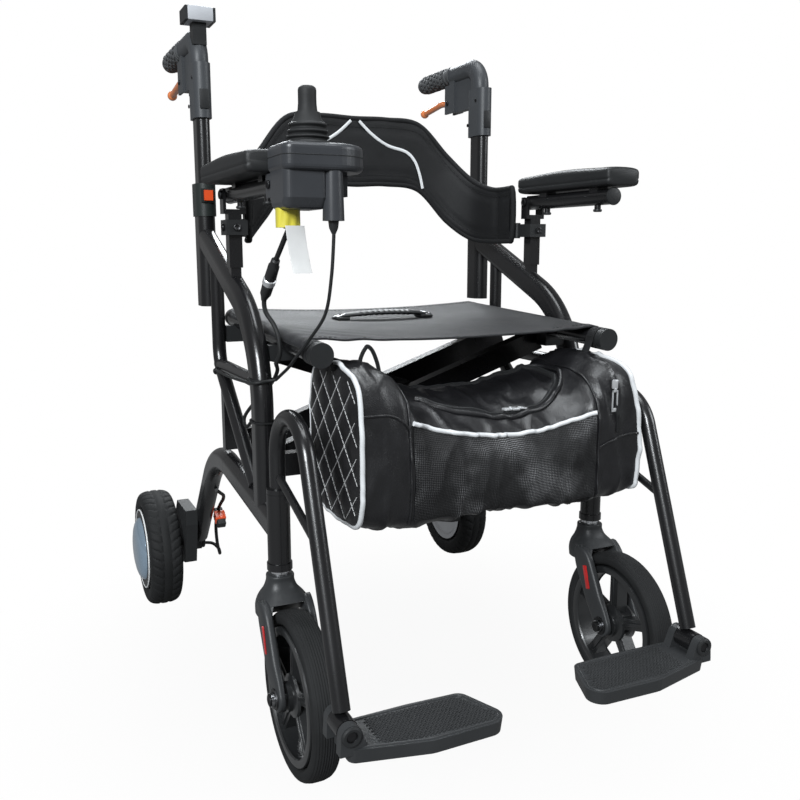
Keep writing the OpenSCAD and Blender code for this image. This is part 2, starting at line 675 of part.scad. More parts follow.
module footplate(right) {
    out = -frame_x - 4;
    color("#2a2c2f") side(right) union() {
        hull() {
            plate_corner(-plate_inner - 20, plate_y0 + 22, 20);
            plate_corner(-plate_inner - 30, plate_y1 - 14, 14);
            plate_corner(out + 12, plate_y0 + 30, 12);
            plate_corner(out + 12, plate_y1 - 12, 12);
            plate_corner(-(frame_x + plate_inner) / 2, plate_y0 + 40, 40);
        }
        for (y = [-plate_pivot_y - 14 - gap - 12, -plate_pivot_y + 14 + gap]) hull() {
            bar_y(24, y + 0.4, y + 11.6, -frame_x, plate_pivot_z, $fn = 32);
            translate([-frame_x - 13, y, plate_top - 6]) cube([32, 12, 4]);
        }
        bar_y(pin_d, -plate_pivot_y - 24, -plate_pivot_y + 24, -frame_x, plate_pivot_z);
    }
}

// Cross brace: two bars, a lower pivot sleeve and the seat rail on top
rail_y0 = 14;
rail_y1 = 392;
module brace_arm(ys) {
    difference() {
        union() {
            for (y = ys) translate([-rail_x, y, pivot_z]) rotate([0, -brace_slope, 0])
                translate([0, 0, -brace_h / 2]) cube([brace_len, brace_t, brace_h]);
            bar_y(pivot_od, pivot_y0, pivot_y1, -rail_x, pivot_z);
            translate([rail_x, 0, rail_at(0)]) rotate([rail_tilt - 90, 0, 0])
                translate([0, 0, rail_y0]) cylinder(d = rail_d, h = rail_y1 - rail_y0);
            for (y = ys) block([rail_x - 10, y, rail_at(y) - 24], [rail_x + 10, y + brace_t, rail_at(y)]);
        }
        bar_y(pin_d + 2 * pin_gap, pivot_y0 - 60, pivot_y1 + 60, -rail_x, pivot_z);
        bar_y(pin_d + 2 * pin_gap, pivot_y0 - 60, pivot_y1 + 60, 0, brace_mid_z);
    }
}
module cross_brace_a() {
    color("#161718") placed() brace_arm([brace_ys[0], brace_ys[3]]);
}
module cross_brace_b() {
    color("#161718") placed() mirror([1, 0, 0]) brace_arm([brace_ys[1], brace_ys[2]]);
}
module brace_pin() {
    color("#8d9093") placed() union() {
        bar_y(pin_d, brace_ys[0] - 4, brace_ys[3] + brace_t + 4, 0, brace_mid_z);
        bar_y(20, brace_ys[0] - 8, brace_ys[0] - gap, 0, brace_mid_z);
        bar_y(20, brace_ys[3] + brace_t + gap, brace_ys[3] + brace_t + 8, 0, brace_mid_z);
    }
}
cap_d = rail_d + 5;
module rail_caps(right) {
    color("#121314") side(!right) translate([-rail_x, 0, rail_at(0)]) rotate([rail_tilt - 90, 0, 0]) {
        translate([0, 0, rail_y0 - 12]) cylinder(d = cap_d, h = 12);
        translate([0, 0, rail_y1]) cylinder(d = cap_d - 3, h = 8);
    }
}

// Seat sling stretched over the rails, sagging a little between them
seat_y0 = 34;
seat_y1 = 386;
seat_t = 4;
seat_sag = 8;
function seat_dz(x) = rail_d / 2 + gap - seat_sag * (1 - pow(x / rail_x, 2));
module on_rails() {
    placed() translate([0, 0, rail_at(0)]) rotate([rail_tilt, 0, 0]) children();
}
module seat_sling() {
    n = 12;
    wide = rail_x + 2;
    xs = [for (i = [0 : n]) -wide + 2 * wide * i / n];
    color("#232528") on_rails() translate([0, seat_y1, 0]) rotate([90, 0, 0])
        linear_extrude(seat_y1 - seat_y0) polygon(concat(
            [for (x = xs) [x, seat_dz(x) + seat_t]],
            [for (i = [n : -1 : 0]) [xs[i], seat_dz(xs[i])]]));
}
handle_c = [-12, 262];
module seat_handle() {
    z = seat_dz(abs(handle_c[0]) + 74) + seat_t + gap;
    color("#1a1b1d") on_rails() translate([handle_c[0], handle_c[1], z]) union() {
        for (s = [-1, 1]) translate([s * 66 - 8, -13, 0]) cube([16, 26, 4]);
        hull() for (x = [-60, -30, 30, 60]) translate([x, -12, abs(x) > 40 ? 3 : 11]) cube([4, 24, 4]);
    }
}

// Padded back band between the armrest posts
band_t = 11;
band_half = [[55, 399], [112, 394], [158, 380], [188, 352], [204, 310], [band_end_x - 9.5, band_end_y + 2.3]];
band_plan = concat([for (i = [len(band_half) - 1 : -1 : 0]) [-band_half[i][0], band_half[i][1]]],
    [[0, 400]], band_half);
band_lift = [0, 0, 18, 54, 98, 110, 110, 110, 98, 54, 18, 0, 0];
band_low = [0, 0, 6, 34, 84, 92, 90, 92, 84, 34, 6, 0, 0];
band_z0 = 644;
band_z1 = 726;
module back_band() {
    n = len(band_plan);
    t = [for (i = [0 : n - 1]) unit(band_plan[min(i + 1, n - 1)] - band_plan[max(i - 1, 0)])];
    // Points round the section: lower edge, back, upper edge and front
    ring = [[0, 0.25], [0.18, 0.5], [0.82, 0.5], [1, 0.25],
        [1, -0.25], [0.82, -0.5], [0.18, -0.5], [0, -0.25]];
    m = len(ring);
    pts = [for (i = [0 : n - 1]) for (r = ring)
        let(z0 = band_z0 + band_low[i], z1 = band_z1 + band_lift[i], nrm = [-t[i][1], t[i][0]])
        concat(band_plan[i] + nrm * r[1] * band_t, [z0 + (z1 - z0) * r[0]])];
    walls = [for (i = [0 : n - 2]) for (k = [0 : m - 1])
        let(a = i * m + k, b = i * m + (k + 1) % m) each [[a, a + m, b], [b, a + m, b + m]]];
    caps = [[for (k = [0 : m - 1]) k], [for (k = [m - 1 : -1 : 0]) (n - 1) * m + k]];
    color("#1c1e21") placed() polyhedron(pts, concat(walls, caps), convexity = 8);
}

// Bag hung under the front of the seat
bag_x0 = -182;
bag_x1 = 214;
bag_y0 = -52;
bag_y1 = 118;
bag_z0 = 292;
bag_z1 = 498;
strap_y0 = rail_y0 + 2;
strap_y1 = seat_y0 - 2;
strap_t = 2.2;
// Loop of webbing round a rail with its tail sewn to the bag
module bag_strap(inner) {
    loop_d = rail_d + 2 * gap;
    difference() {
        union() {
            bar_y(loop_d + 2 * strap_t, strap_y0, strap_y1, rail_x, 0);
            block([inner, strap_y0, -52], [rail_x - 6, strap_y1, -8]);
        }
        bar_y(loop_d, strap_y0 - 1, strap_y1 + 1, rail_x, 0);
    }
}
module under_seat_bag() {
    color("#17181b") union() {
        placed() bag_body();
        on_rails() bag_strap(bag_x1 - 50);
        on_rails() mirror([1, 0, 0]) bag_strap(-bag_x0 - 22);
    }
}
module bag_body() {
    r = 26;
    union() {
        hull() {
            for (x = [bag_x0 + r, bag_x1 - r]) for (y = [bag_y0 + r, bag_y1 - r]) {
                translate([x, y, bag_z0 + 14]) sphere(r = r - 6, $fn = 24);
                translate([x, y, bag_z1 - 96]) sphere(r = r, $fn = 24);
            }
        }
        for (x = [[bag_x0, bag_x0 + 76], [bag_x1 - 92, bag_x1]]) hull() for (y = [bag_y0 + r, bag_y1 - r]) {
            translate([x[0] + r, y, bag_z0 + 60]) sphere(r = r - 1, $fn = 24);
            translate([x[1] - r, y, bag_z0 + 60]) sphere(r = r - 1, $fn = 24);
            translate([x[0] + r, y, bag_z1 - r]) sphere(r = r - 4, $fn = 24);
            translate([x[1] - r, y, bag_z1 - r]) sphere(r = r - 4, $fn = 24);
        }
    }
}

frame_left();
frame_right();
height_collar(false);  // height_collar_left
height_collar(true);  // height_collar_right
rail_saddles(false);  // rail_saddles_left
rail_saddles(true);  // rail_saddles_right
arm_post_piece(false);  // arm_post_left
arm_post_piece(true);  // arm_post_right
band_clamp(false);  // band_clamp_left
band_clamp(true);  // band_clamp_right
motor_bracket(false);  // motor_bracket_left
motor_bracket(true);  // motor_bracket_right
motor_lead(false);  // motor_lead_left
motor_lead(true);  // motor_lead_right
drive_tyre(false);  // drive_tyre_left
drive_tyre(true);  // drive_tyre_right
drive_hub(false);  // drive_hub_left
drive_hub(true);  // drive_hub_right
caster_fork(false);  // caster_fork_left
caster_fork(true);  // caster_fork_right
caster_hardware(false);  // caster_hardware_left
caster_hardware(true);  // caster_hardware_right
caster_tyre(false);  // caster_tyre_left
caster_tyre(true);  // caster_tyre_right
caster_rim(false);  // caster_rim_left
caster_rim(true);  // caster_rim_right
handle_post(false);  // handle_post_left
handle_post(true);  // handle_post_right
handle_housing(false);  // handle_housing_left
handle_housing(true);  // handle_housing_right
hand_grip(false);  // hand_grip_left
hand_grip(true);  // hand_grip_right
brake_lever(false);  // brake_lever_left
brake_lever(true);  // brake_lever_right
height_button(false);  // height_button_left
height_button(true);  // height_button_right
display_unit();
arm_tube(false);  // arm_tube_left
arm_tube(true);  // arm_tube_right
arm_pad(false);  // arm_pad_left
arm_pad(true);  // arm_pad_right
joystick_case();
joystick_gimbal();
joystick_knob();
boot_lower();
boot_upper();
joystick_leads();
footrest_hanger(false);  // footrest_hanger_left
footrest_hanger(true);  // footrest_hanger_right
footplate(false);  // footplate_left
footplate(true);  // footplate_right
cross_brace_a();
cross_brace_b();
brace_pin();
rail_caps(false);  // rail_caps_a
rail_caps(true);  // rail_caps_b
seat_sling();
seat_handle();
back_band();
under_seat_bag();
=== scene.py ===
"""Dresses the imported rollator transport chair: soft goods, trim and finishes over the fixed frame."""

import json
import math

import bmesh
import bpy
from mathutils import Matrix, Vector, noise
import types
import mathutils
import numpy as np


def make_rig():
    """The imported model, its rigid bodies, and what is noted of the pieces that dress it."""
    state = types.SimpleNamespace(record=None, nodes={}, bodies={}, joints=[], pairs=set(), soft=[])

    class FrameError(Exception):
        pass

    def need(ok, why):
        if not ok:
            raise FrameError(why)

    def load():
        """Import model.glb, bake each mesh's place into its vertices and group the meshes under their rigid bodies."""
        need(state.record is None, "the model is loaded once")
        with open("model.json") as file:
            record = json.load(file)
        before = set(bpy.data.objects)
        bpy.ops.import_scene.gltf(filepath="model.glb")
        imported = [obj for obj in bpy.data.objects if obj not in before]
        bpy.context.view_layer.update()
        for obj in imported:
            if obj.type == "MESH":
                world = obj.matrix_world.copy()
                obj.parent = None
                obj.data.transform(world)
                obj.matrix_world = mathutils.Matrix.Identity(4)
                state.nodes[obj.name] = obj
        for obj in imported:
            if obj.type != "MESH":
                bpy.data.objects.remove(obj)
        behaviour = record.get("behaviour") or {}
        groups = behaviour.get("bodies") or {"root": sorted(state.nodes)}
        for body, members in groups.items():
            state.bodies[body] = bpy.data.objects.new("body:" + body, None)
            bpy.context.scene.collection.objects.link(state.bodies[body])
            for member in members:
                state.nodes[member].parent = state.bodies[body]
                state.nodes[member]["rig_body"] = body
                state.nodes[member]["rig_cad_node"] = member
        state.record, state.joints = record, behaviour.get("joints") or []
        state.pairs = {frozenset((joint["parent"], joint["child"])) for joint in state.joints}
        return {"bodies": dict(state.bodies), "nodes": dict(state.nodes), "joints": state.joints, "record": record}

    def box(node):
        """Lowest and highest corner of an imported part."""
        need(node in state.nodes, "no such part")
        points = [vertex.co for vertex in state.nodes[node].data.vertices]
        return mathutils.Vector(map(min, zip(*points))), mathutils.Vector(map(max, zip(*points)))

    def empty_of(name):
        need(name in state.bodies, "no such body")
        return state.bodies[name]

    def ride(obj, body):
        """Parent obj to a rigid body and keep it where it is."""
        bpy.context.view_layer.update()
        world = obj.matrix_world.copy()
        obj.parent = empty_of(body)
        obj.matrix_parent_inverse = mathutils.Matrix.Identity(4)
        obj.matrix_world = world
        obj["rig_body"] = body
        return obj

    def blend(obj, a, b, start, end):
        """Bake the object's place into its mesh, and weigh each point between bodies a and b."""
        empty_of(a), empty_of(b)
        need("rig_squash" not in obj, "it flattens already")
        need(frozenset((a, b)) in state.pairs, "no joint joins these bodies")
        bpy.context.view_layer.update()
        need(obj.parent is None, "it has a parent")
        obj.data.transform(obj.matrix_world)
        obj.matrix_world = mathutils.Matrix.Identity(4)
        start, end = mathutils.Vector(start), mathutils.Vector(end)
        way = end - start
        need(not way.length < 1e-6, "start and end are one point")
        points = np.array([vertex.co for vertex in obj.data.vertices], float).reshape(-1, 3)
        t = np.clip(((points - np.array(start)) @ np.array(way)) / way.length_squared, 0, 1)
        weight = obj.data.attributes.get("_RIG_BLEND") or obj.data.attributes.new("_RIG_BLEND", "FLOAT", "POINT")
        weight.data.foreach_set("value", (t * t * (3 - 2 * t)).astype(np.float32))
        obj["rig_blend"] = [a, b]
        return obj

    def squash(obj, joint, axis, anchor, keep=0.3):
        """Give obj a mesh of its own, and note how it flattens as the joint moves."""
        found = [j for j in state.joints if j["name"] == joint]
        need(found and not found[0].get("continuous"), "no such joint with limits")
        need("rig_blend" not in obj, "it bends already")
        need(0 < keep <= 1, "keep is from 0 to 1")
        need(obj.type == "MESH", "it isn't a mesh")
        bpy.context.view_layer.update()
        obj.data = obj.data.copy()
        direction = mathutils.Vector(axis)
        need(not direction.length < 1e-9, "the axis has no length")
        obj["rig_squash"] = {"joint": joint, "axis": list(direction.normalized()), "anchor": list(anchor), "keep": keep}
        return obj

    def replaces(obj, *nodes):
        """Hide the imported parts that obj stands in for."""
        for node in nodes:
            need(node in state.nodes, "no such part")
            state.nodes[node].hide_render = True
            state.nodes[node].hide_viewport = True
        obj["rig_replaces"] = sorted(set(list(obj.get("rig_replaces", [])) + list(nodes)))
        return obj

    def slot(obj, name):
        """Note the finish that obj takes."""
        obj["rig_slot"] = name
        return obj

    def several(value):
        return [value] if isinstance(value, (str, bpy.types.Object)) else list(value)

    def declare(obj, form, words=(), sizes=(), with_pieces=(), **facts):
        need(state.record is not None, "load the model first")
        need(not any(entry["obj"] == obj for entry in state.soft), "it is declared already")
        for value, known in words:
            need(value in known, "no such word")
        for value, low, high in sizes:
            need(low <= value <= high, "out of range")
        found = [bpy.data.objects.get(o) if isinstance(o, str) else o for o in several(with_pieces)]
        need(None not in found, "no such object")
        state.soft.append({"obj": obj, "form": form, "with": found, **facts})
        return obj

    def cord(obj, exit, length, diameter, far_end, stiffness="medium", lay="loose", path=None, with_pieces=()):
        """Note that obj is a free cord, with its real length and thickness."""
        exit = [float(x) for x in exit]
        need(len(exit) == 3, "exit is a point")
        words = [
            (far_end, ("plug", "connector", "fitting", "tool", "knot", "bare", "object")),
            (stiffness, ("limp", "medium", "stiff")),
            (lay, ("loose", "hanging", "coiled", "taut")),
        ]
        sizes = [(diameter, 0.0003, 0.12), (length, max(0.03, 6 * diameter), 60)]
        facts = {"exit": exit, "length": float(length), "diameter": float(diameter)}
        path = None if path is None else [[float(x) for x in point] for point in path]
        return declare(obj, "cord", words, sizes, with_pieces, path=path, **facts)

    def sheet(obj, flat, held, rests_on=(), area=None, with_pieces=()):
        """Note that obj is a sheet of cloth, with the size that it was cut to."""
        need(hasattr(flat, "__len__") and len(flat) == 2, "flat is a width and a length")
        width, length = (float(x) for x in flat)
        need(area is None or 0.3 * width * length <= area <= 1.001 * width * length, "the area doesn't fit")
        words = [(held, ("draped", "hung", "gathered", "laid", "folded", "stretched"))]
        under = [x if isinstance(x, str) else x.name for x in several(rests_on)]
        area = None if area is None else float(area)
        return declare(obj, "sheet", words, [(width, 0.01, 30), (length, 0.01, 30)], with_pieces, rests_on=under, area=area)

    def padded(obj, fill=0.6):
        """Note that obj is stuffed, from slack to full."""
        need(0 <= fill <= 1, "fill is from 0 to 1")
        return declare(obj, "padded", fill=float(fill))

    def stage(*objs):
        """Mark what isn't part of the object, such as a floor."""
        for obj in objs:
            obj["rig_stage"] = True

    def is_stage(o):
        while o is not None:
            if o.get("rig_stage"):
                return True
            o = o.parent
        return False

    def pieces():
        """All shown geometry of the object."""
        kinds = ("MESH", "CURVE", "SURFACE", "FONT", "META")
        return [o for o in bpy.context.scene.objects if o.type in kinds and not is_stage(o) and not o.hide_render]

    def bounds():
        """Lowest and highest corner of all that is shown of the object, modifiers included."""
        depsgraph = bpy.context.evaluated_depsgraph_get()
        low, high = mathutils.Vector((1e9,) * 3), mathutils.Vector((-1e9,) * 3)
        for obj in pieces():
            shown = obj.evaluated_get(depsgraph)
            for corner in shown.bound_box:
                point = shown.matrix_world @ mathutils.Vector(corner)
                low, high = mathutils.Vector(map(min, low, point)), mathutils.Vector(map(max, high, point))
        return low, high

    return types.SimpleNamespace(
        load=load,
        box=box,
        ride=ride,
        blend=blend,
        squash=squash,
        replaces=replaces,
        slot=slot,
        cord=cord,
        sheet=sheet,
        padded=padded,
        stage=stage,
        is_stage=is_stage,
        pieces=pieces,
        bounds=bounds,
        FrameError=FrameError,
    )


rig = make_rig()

bl_info = {
    "name": "Rollator transport chair",
    "version": (1, 0, 0),
    "blender": (4, 5, 0),
    "location": "View3D > Sidebar > Chair",
    "description": "Soft goods, trim, finishes and stage of a folding rollator transport chair",
    "category": "Object",
}

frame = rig.load()
CAD_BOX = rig.bounds()
MIDDLE = 262.35  # the chair's middle behind the front axle, in millimetres
FRAME_X = 240  # the side frames' middle planes, in millimetres either side
WHEEL_R = 101.5  # radius of all four tyres, and so the height of their axles
STICK_X = -218  # the joystick's upright axis
SIDES = ((-1, "left"), (1, "right"))
FINISHES = {}


def at(x, y, z):
    """A place in millimetres, counted from the front axle, as metres in the frame."""
    return Vector((x, y - MIDDLE, z)) / 1000


# Settings that a user would change


def tint(name, description, default):
    return bpy.props.FloatVectorProperty(name=name, description=description, subtype="COLOR", size=3, default=default)


def length(name, description, default, low, high):
    return bpy.props.FloatProperty(name=name, description=description, unit="LENGTH", default=default,
                                   min=low, max=high)


class ChairColours(bpy.types.PropertyGroup):
    """Colours of the chair's finishes."""

    coat: tint("Frame coat", "Powder coat of the tubes", (0.011, 0.011, 0.012))
    plastic: tint("Moulded plastic", "Housings, forks and footplates", (0.021, 0.022, 0.023))
    rubber: tint("Rubber", "Tyres, grips and boots", (0.016, 0.0165, 0.017))
    lever: tint("Lever orange", "Brake levers", (0.72, 0.22, 0.075))
    signal: tint("Button orange", "Height buttons and lead plugs", (0.71, 0.085, 0.022))
    cloth: tint("Seat cloth", "Sling seat and back band", (0.014, 0.0145, 0.016))
    leather: tint("Bag leather", "Leather of the bag under the seat", (0.0055, 0.0055, 0.0063))
    piping: tint("Piping", "Pale piping and reflective stripes", (0.66, 0.67, 0.68))


class ChairSizes(bpy.types.PropertyGroup):
    """Sizes of the soft goods, in metres."""

    seat_sag: length("Seat sag", "Sag of the sling between its rails", 0.008, 0.0, 0.02)
    band_fill: length("Band fill", "Thickness of the back band's padding", 0.011, 0.006, 0.016)
    quilt_step: length("Quilt step", "Size of a stitched diamond on the bag", 0.045, 0.025, 0.06)
    piping: length("Piping", "Diameter of the bag's piping", 0.0062, 0.003, 0.009)


# Shader expressions


class Wire:
    """A shader socket that takes part in sums."""

    def __init__(self, finish, socket):
        self.finish = finish
        self.socket = socket

    def maths(self, operation, other=0.0, flip=False):
        pair = (other, self) if flip else (self, other)
        return self.finish.node("ShaderNodeMath", {"operation": operation}, {0: pair[0], 1: pair[1]})

    def __add__(self, other):
        return self.maths("ADD", other)

    def __sub__(self, other):
        return self.maths("SUBTRACT", other)

    def __rsub__(self, other):
        return self.maths("SUBTRACT", other, True)

    def __mul__(self, other):
        return self.maths("MULTIPLY", other)

    def __gt__(self, other):
        return self.maths("GREATER_THAN", other)

    __radd__ = __add__
    __rmul__ = __mul__


class Finish:
    """One node material with a principled shader."""

    def __init__(self, name, **fixed):
        self.material = bpy.data.materials.new(name)
        self.material.use_nodes = True
        self.tree = self.material.node_tree
        self.tree.nodes.clear()
        self.shader = self.tree.nodes.new("ShaderNodeBsdfPrincipled")
        out = self.tree.nodes.new("ShaderNodeOutputMaterial")
        self.tree.links.new(self.shader.outputs[0], out.inputs[0])
        for socket, value in fixed.items():
            self.shader.inputs[socket.replace("_", " ").title().replace("Ior", "IOR")].default_value = value
        FINISHES[name] = self.material

    def node(self, kind, settings=None, sockets=None, output=0):
        made = self.tree.nodes.new(kind)
        for key, value in (settings or {}).items():
            setattr(made, key, value)
        for key, value in (sockets or {}).items():
            if isinstance(value, Wire):
                self.tree.links.new(value.socket, made.inputs[key])
            else:
                made.inputs[key].default_value = value
        return Wire(self, made.outputs[output])

    def coords(self, kind="Object"):
        return self.node("ShaderNodeTexCoord", output=kind)

    def split(self, vector):
        return [self.node("ShaderNodeSeparateXYZ", sockets={0: vector}, output=i) for i in range(3)]

    def cloud(self, scale, detail=2.0):
        return self.node("ShaderNodeTexNoise", sockets={"Vector": self.coords(), "Scale": scale, "Detail": detail})

    def cells(self, scale, feature="F1"):
        return self.node("ShaderNodeTexVoronoi", {"feature": feature}, {"Vector": self.coords(), "Scale": scale})

    def mix(self, share, low, high):
        def tint(value):
            return value if isinstance(value, Wire) else (*value, 1)
        return self.node("ShaderNodeMix", {"data_type": "RGBA"}, {0: share, 6: tint(low), 7: tint(high)}, 2)

    def feed(self, **wires):
        for socket, wire in wires.items():
            self.tree.links.new(wire.socket, self.shader.inputs[socket.replace("_", " ").title()])
        return self

    def bump(self, height, strength, distance=0.001):
        raised = self.node("ShaderNodeBump", sockets={"Strength": strength, "Distance": distance, "Height": height})
        return self.feed(normal=raised)


def shade(colour, share):
    return tuple(min(1.0, c * share) for c in colour)


def powder_coat(name, colour):
    """Satin black stoved coat with a faint orange peel and dust in the hollows."""
    f = Finish(name, specular_ior_level=0.5, coat_weight=0.2, coat_roughness=0.1)
    drift = f.cloud(9.0, 3.0)
    peel = f.cloud(750.0, 1.0)
    f.feed(base_color=f.mix(drift, shade(colour, 0.4), shade(colour, 0.9)), roughness=0.2 + 0.14 * drift)
    return f.bump(peel, 0.06)


def moulded(name, colour, rough=0.45, grain=900.0, depth=0.18):
    """Moulded plastic with spark grain and handling marks."""
    f = Finish(name, specular_ior_level=0.32)
    drift = f.cloud(14.0, 4.0)
    spark = f.cells(grain)
    f.feed(base_color=f.mix(drift, shade(colour, 0.8), shade(colour, 1.35)), roughness=rough - 0.1 + 0.2 * drift)
    return f.bump(spark, depth, 0.0004)


def rubber(name, colour, rough=0.72):
    """Matt rubber with dust and a fine skin."""
    f = Finish(name, specular_ior_level=0.22)
    dust = f.cloud(22.0, 5.0)
    skin = f.cloud(1100.0, 1.0)
    f.feed(base_color=f.mix(dust, shade(colour, 0.75), shade(colour, 1.7)), roughness=rough - 0.1 + 0.2 * dust)
    return f.bump(skin, 0.2, 0.0005)


def bright_metal(name, colour, rough, lines=0.0, metallic=1.0):
    """Plated or brushed metal with faint rub marks."""
    f = Finish(name, metallic=metallic)
    marks = f.cloud(60.0, 4.0)
    f.feed(base_color=f.mix(marks, shade(colour, 0.86), shade(colour, 1.08)), roughness=rough + 0.14 * marks)
    brushed = f.node("ShaderNodeTexWave", {"bands_direction": "X"}, {
        "Vector": f.coords(), "Scale": 420.0, "Distortion": 2.0}, 1)
    return f.bump(brushed, 0.02 + lines, 0.0003)


def gloss(name, colour, rough=0.22):
    """Glossy coloured plastic with light scuffs."""
    f = Finish(name, specular_ior_level=0.5, coat_weight=0.3, coat_roughness=0.08)
    scuff = f.cloud(45.0, 5.0)
    f.feed(base_color=f.mix(scuff, shade(colour, 0.85), shade(colour, 1.1)), roughness=rough - 0.05 + 0.15 * scuff)
    return f.bump(f.cloud(300.0), 0.04)


def woven(name, colour, threads=1400.0, sheen=0.15, rough=0.8):
    """Coated cloth: two thread directions from the piece's own map, with soft drift."""
    f = Finish(name, specular_ior_level=0.28, sheen_weight=sheen, sheen_roughness=0.4)
    across, along, _ = f.split(f.coords("UV"))
    warp = (across * threads).maths("SINE")
    weft = (along * threads).maths("SINE")
    thread = warp * weft
    drift = f.cloud(18.0, 4.0)
    f.feed(base_color=f.mix(drift * 0.7 + 0.15 * thread, shade(colour, 0.7), shade(colour, 1.5)),
           roughness=rough - 0.12 + 0.2 * drift)
    return f.bump(thread + 1.6 * f.cloud(70.0, 3.0), 0.22, 0.0008)


def leather(name, colour, grain=420.0):
    """Soft coated leather with pebble grain, rubbed patches and small creases."""
    f = Finish(name, specular_ior_level=0.5, coat_weight=0.12, coat_roughness=0.25)
    pebble = f.cells(grain, "DISTANCE_TO_EDGE")
    crease = f.cloud(38.0, 5.0)
    rubbed = f.cloud(11.0, 3.0)
    f.feed(base_color=f.mix(crease, shade(colour, 0.7), shade(colour, 1.9)),
           roughness=0.22 + 0.2 * crease + 0.12 * rubbed)
    return f.bump(pebble * 0.5 + crease * 1.8 + rubbed * 2.0, 0.4, 0.0022)


def netting(name, colour):
    """Open net over a dark lining, from the panel's own map in millimetres, catching light in patches."""
    f = Finish(name, specular_ior_level=0.3)
    across, along, _ = f.split(f.coords("UV"))
    one = ((across + along) * 1.5).maths("SINE")
    two = ((across - along) * 1.5).maths("SINE")
    hole = one * two
    drift = f.cloud(26.0, 4.0)
    patch = f.node("ShaderNodeMapRange", {"interpolation_type": "SMOOTHSTEP"}, {
        0: f.cloud(13.0, 3.0), 1: 0.47, 2: 0.66})
    open_net = (hole > 0.2) * (0.12 + 0.88 * patch)
    f.feed(base_color=f.mix(open_net, shade(colour, 0.45), (0.2, 0.2, 0.205)), roughness=0.75 - 0.15 * drift)
    return f.bump(hole, 0.5, 0.0008)


def reflective(name, colour):
    """Pale reflective tape with fine beads."""
    f = Finish(name, specular_ior_level=0.6, coat_weight=0.2)
    beads = f.cells(1500.0)
    drift = f.cloud(30.0, 3.0)
    f.feed(base_color=f.mix(drift, shade(colour, 0.82), shade(colour, 1.1)), roughness=0.38 + 0.2 * drift)
    return f.bump(beads, 0.2, 0.0004)


def tyre(name, colour):
    """Tyre rubber, greyer with dust on the tread."""
    f = Finish(name, specular_ior_level=0.2)
    dust = f.cloud(30.0, 6.0)
    f.feed(base_color=f.mix(dust, shade(colour, 0.8), shade(colour, 2.4)), roughness=0.62 + 0.25 * dust)
    return f.bump(f.cloud(500.0, 2.0), 0.25, 0.0006)


# Mesh helpers


def finish_piece(name, mesh, finish, body, slot, angle=40):
    """Makes an object of a mesh at the origin, shades it and lets it ride on a body."""
    mesh.shade_smooth()
    mesh.set_sharp_from_angle(angle=math.radians(angle))
    piece = bpy.data.objects.new(name, mesh)
    bpy.context.scene.collection.objects.link(piece)
    mesh.materials.append(FINISHES[finish])
    if body:
        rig.ride(piece, body)
    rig.slot(piece, slot)
    return piece


def from_bmesh(name, bm, finish, body, slot, angle=40):
    bmesh.ops.remove_doubles(bm, verts=bm.verts, dist=1e-6)
    bmesh.ops.recalc_face_normals(bm, faces=bm.faces)
    mesh = bpy.data.meshes.new(name)
    bm.to_mesh(mesh)
    bm.free()
    return finish_piece(name, mesh, finish, body, slot, angle)


def loft(bm, runs, rounds, place, closed=True, capped=True):
    """A grid laid over place(u, v), closed round v and capped at both ends of u."""
    uv = bm.loops.layers.uv.verify()
    made = bmesh.ops.create_grid(bm, x_segments=runs, y_segments=rounds, size=0.5, calc_uvs=True)
    verts = made["verts"]
    for vert in verts:
        vert.co = place(vert.co.x + 0.5, vert.co.y + 0.5)
    if closed:
        bmesh.ops.remove_doubles(bm, verts=verts, dist=1e-6)
    if capped:
        rims = [edge for edge in bm.edges if edge.is_boundary]
        bmesh.ops.holes_fill(bm, edges=rims, sides=0)
    return uv


def map_flat(bm, uv, first, second, scale=1.0):
    """Writes the map of every face from two of its axes, in metres times scale."""
    for face in bm.faces:
        for loop in face.loops:
            loop[uv].uv = (loop.vert.co[first] * scale, loop.vert.co[second] * scale)


def spun(bm, profile, centre, axis, steps=96, closed=True):
    """Turns a profile of (along, radius) pairs fully round an axis through a centre."""
    way = Vector(axis).normalized()
    out = way.orthogonal().normalized()
    verts = [bm.verts.new(centre + way * along + out * radius) for along, radius in profile]
    pairs = list(zip(verts, verts[1:] + verts[:1] if closed else verts[1:]))
    edges = [bm.edges.new(pair) for pair in pairs]
    bmesh.ops.spin(bm, geom=verts + edges, cent=centre, axis=way, angle=math.tau, steps=steps, use_merge=True)


def slab(bm, low, high, bevel=0.001, segments=2):
    """A block between two corners with rounded edges."""
    low, high = Vector(low), Vector(high)
    made = bmesh.ops.create_cube(bm, size=1.0)["verts"]
    size = high - low
    bmesh.ops.scale(bm, vec=size, verts=made)
    bmesh.ops.translate(bm, vec=(low + high) / 2, verts=made)
    edges = list({edge for vert in made for edge in vert.link_edges})
    bmesh.ops.bevel(bm, geom=edges, offset=bevel, segments=segments, profile=0.5, affect="EDGES", material=-1)


def disc(bm, centre, axis, radius, depth, bevel=0.0006, segments=24):
    """A short round head whose outer edge is rounded."""
    turn = Vector((0, 0, 1)).rotation_difference(Vector(axis)).to_matrix().to_4x4()
    place = Matrix.Translation(centre + Vector(axis) * depth / 2) @ turn
    made = bmesh.ops.create_cone(bm, cap_ends=True, segments=segments, radius1=radius, radius2=radius,
                                 depth=depth, matrix=place)["verts"]
    rims = [edge for edge in {e for v in made for e in v.link_edges}
            if any(len(f.verts) > 4 for f in edge.link_faces)]
    bmesh.ops.bevel(bm, geom=rims, offset=bevel, segments=2, profile=0.5, affect="EDGES", material=-1)


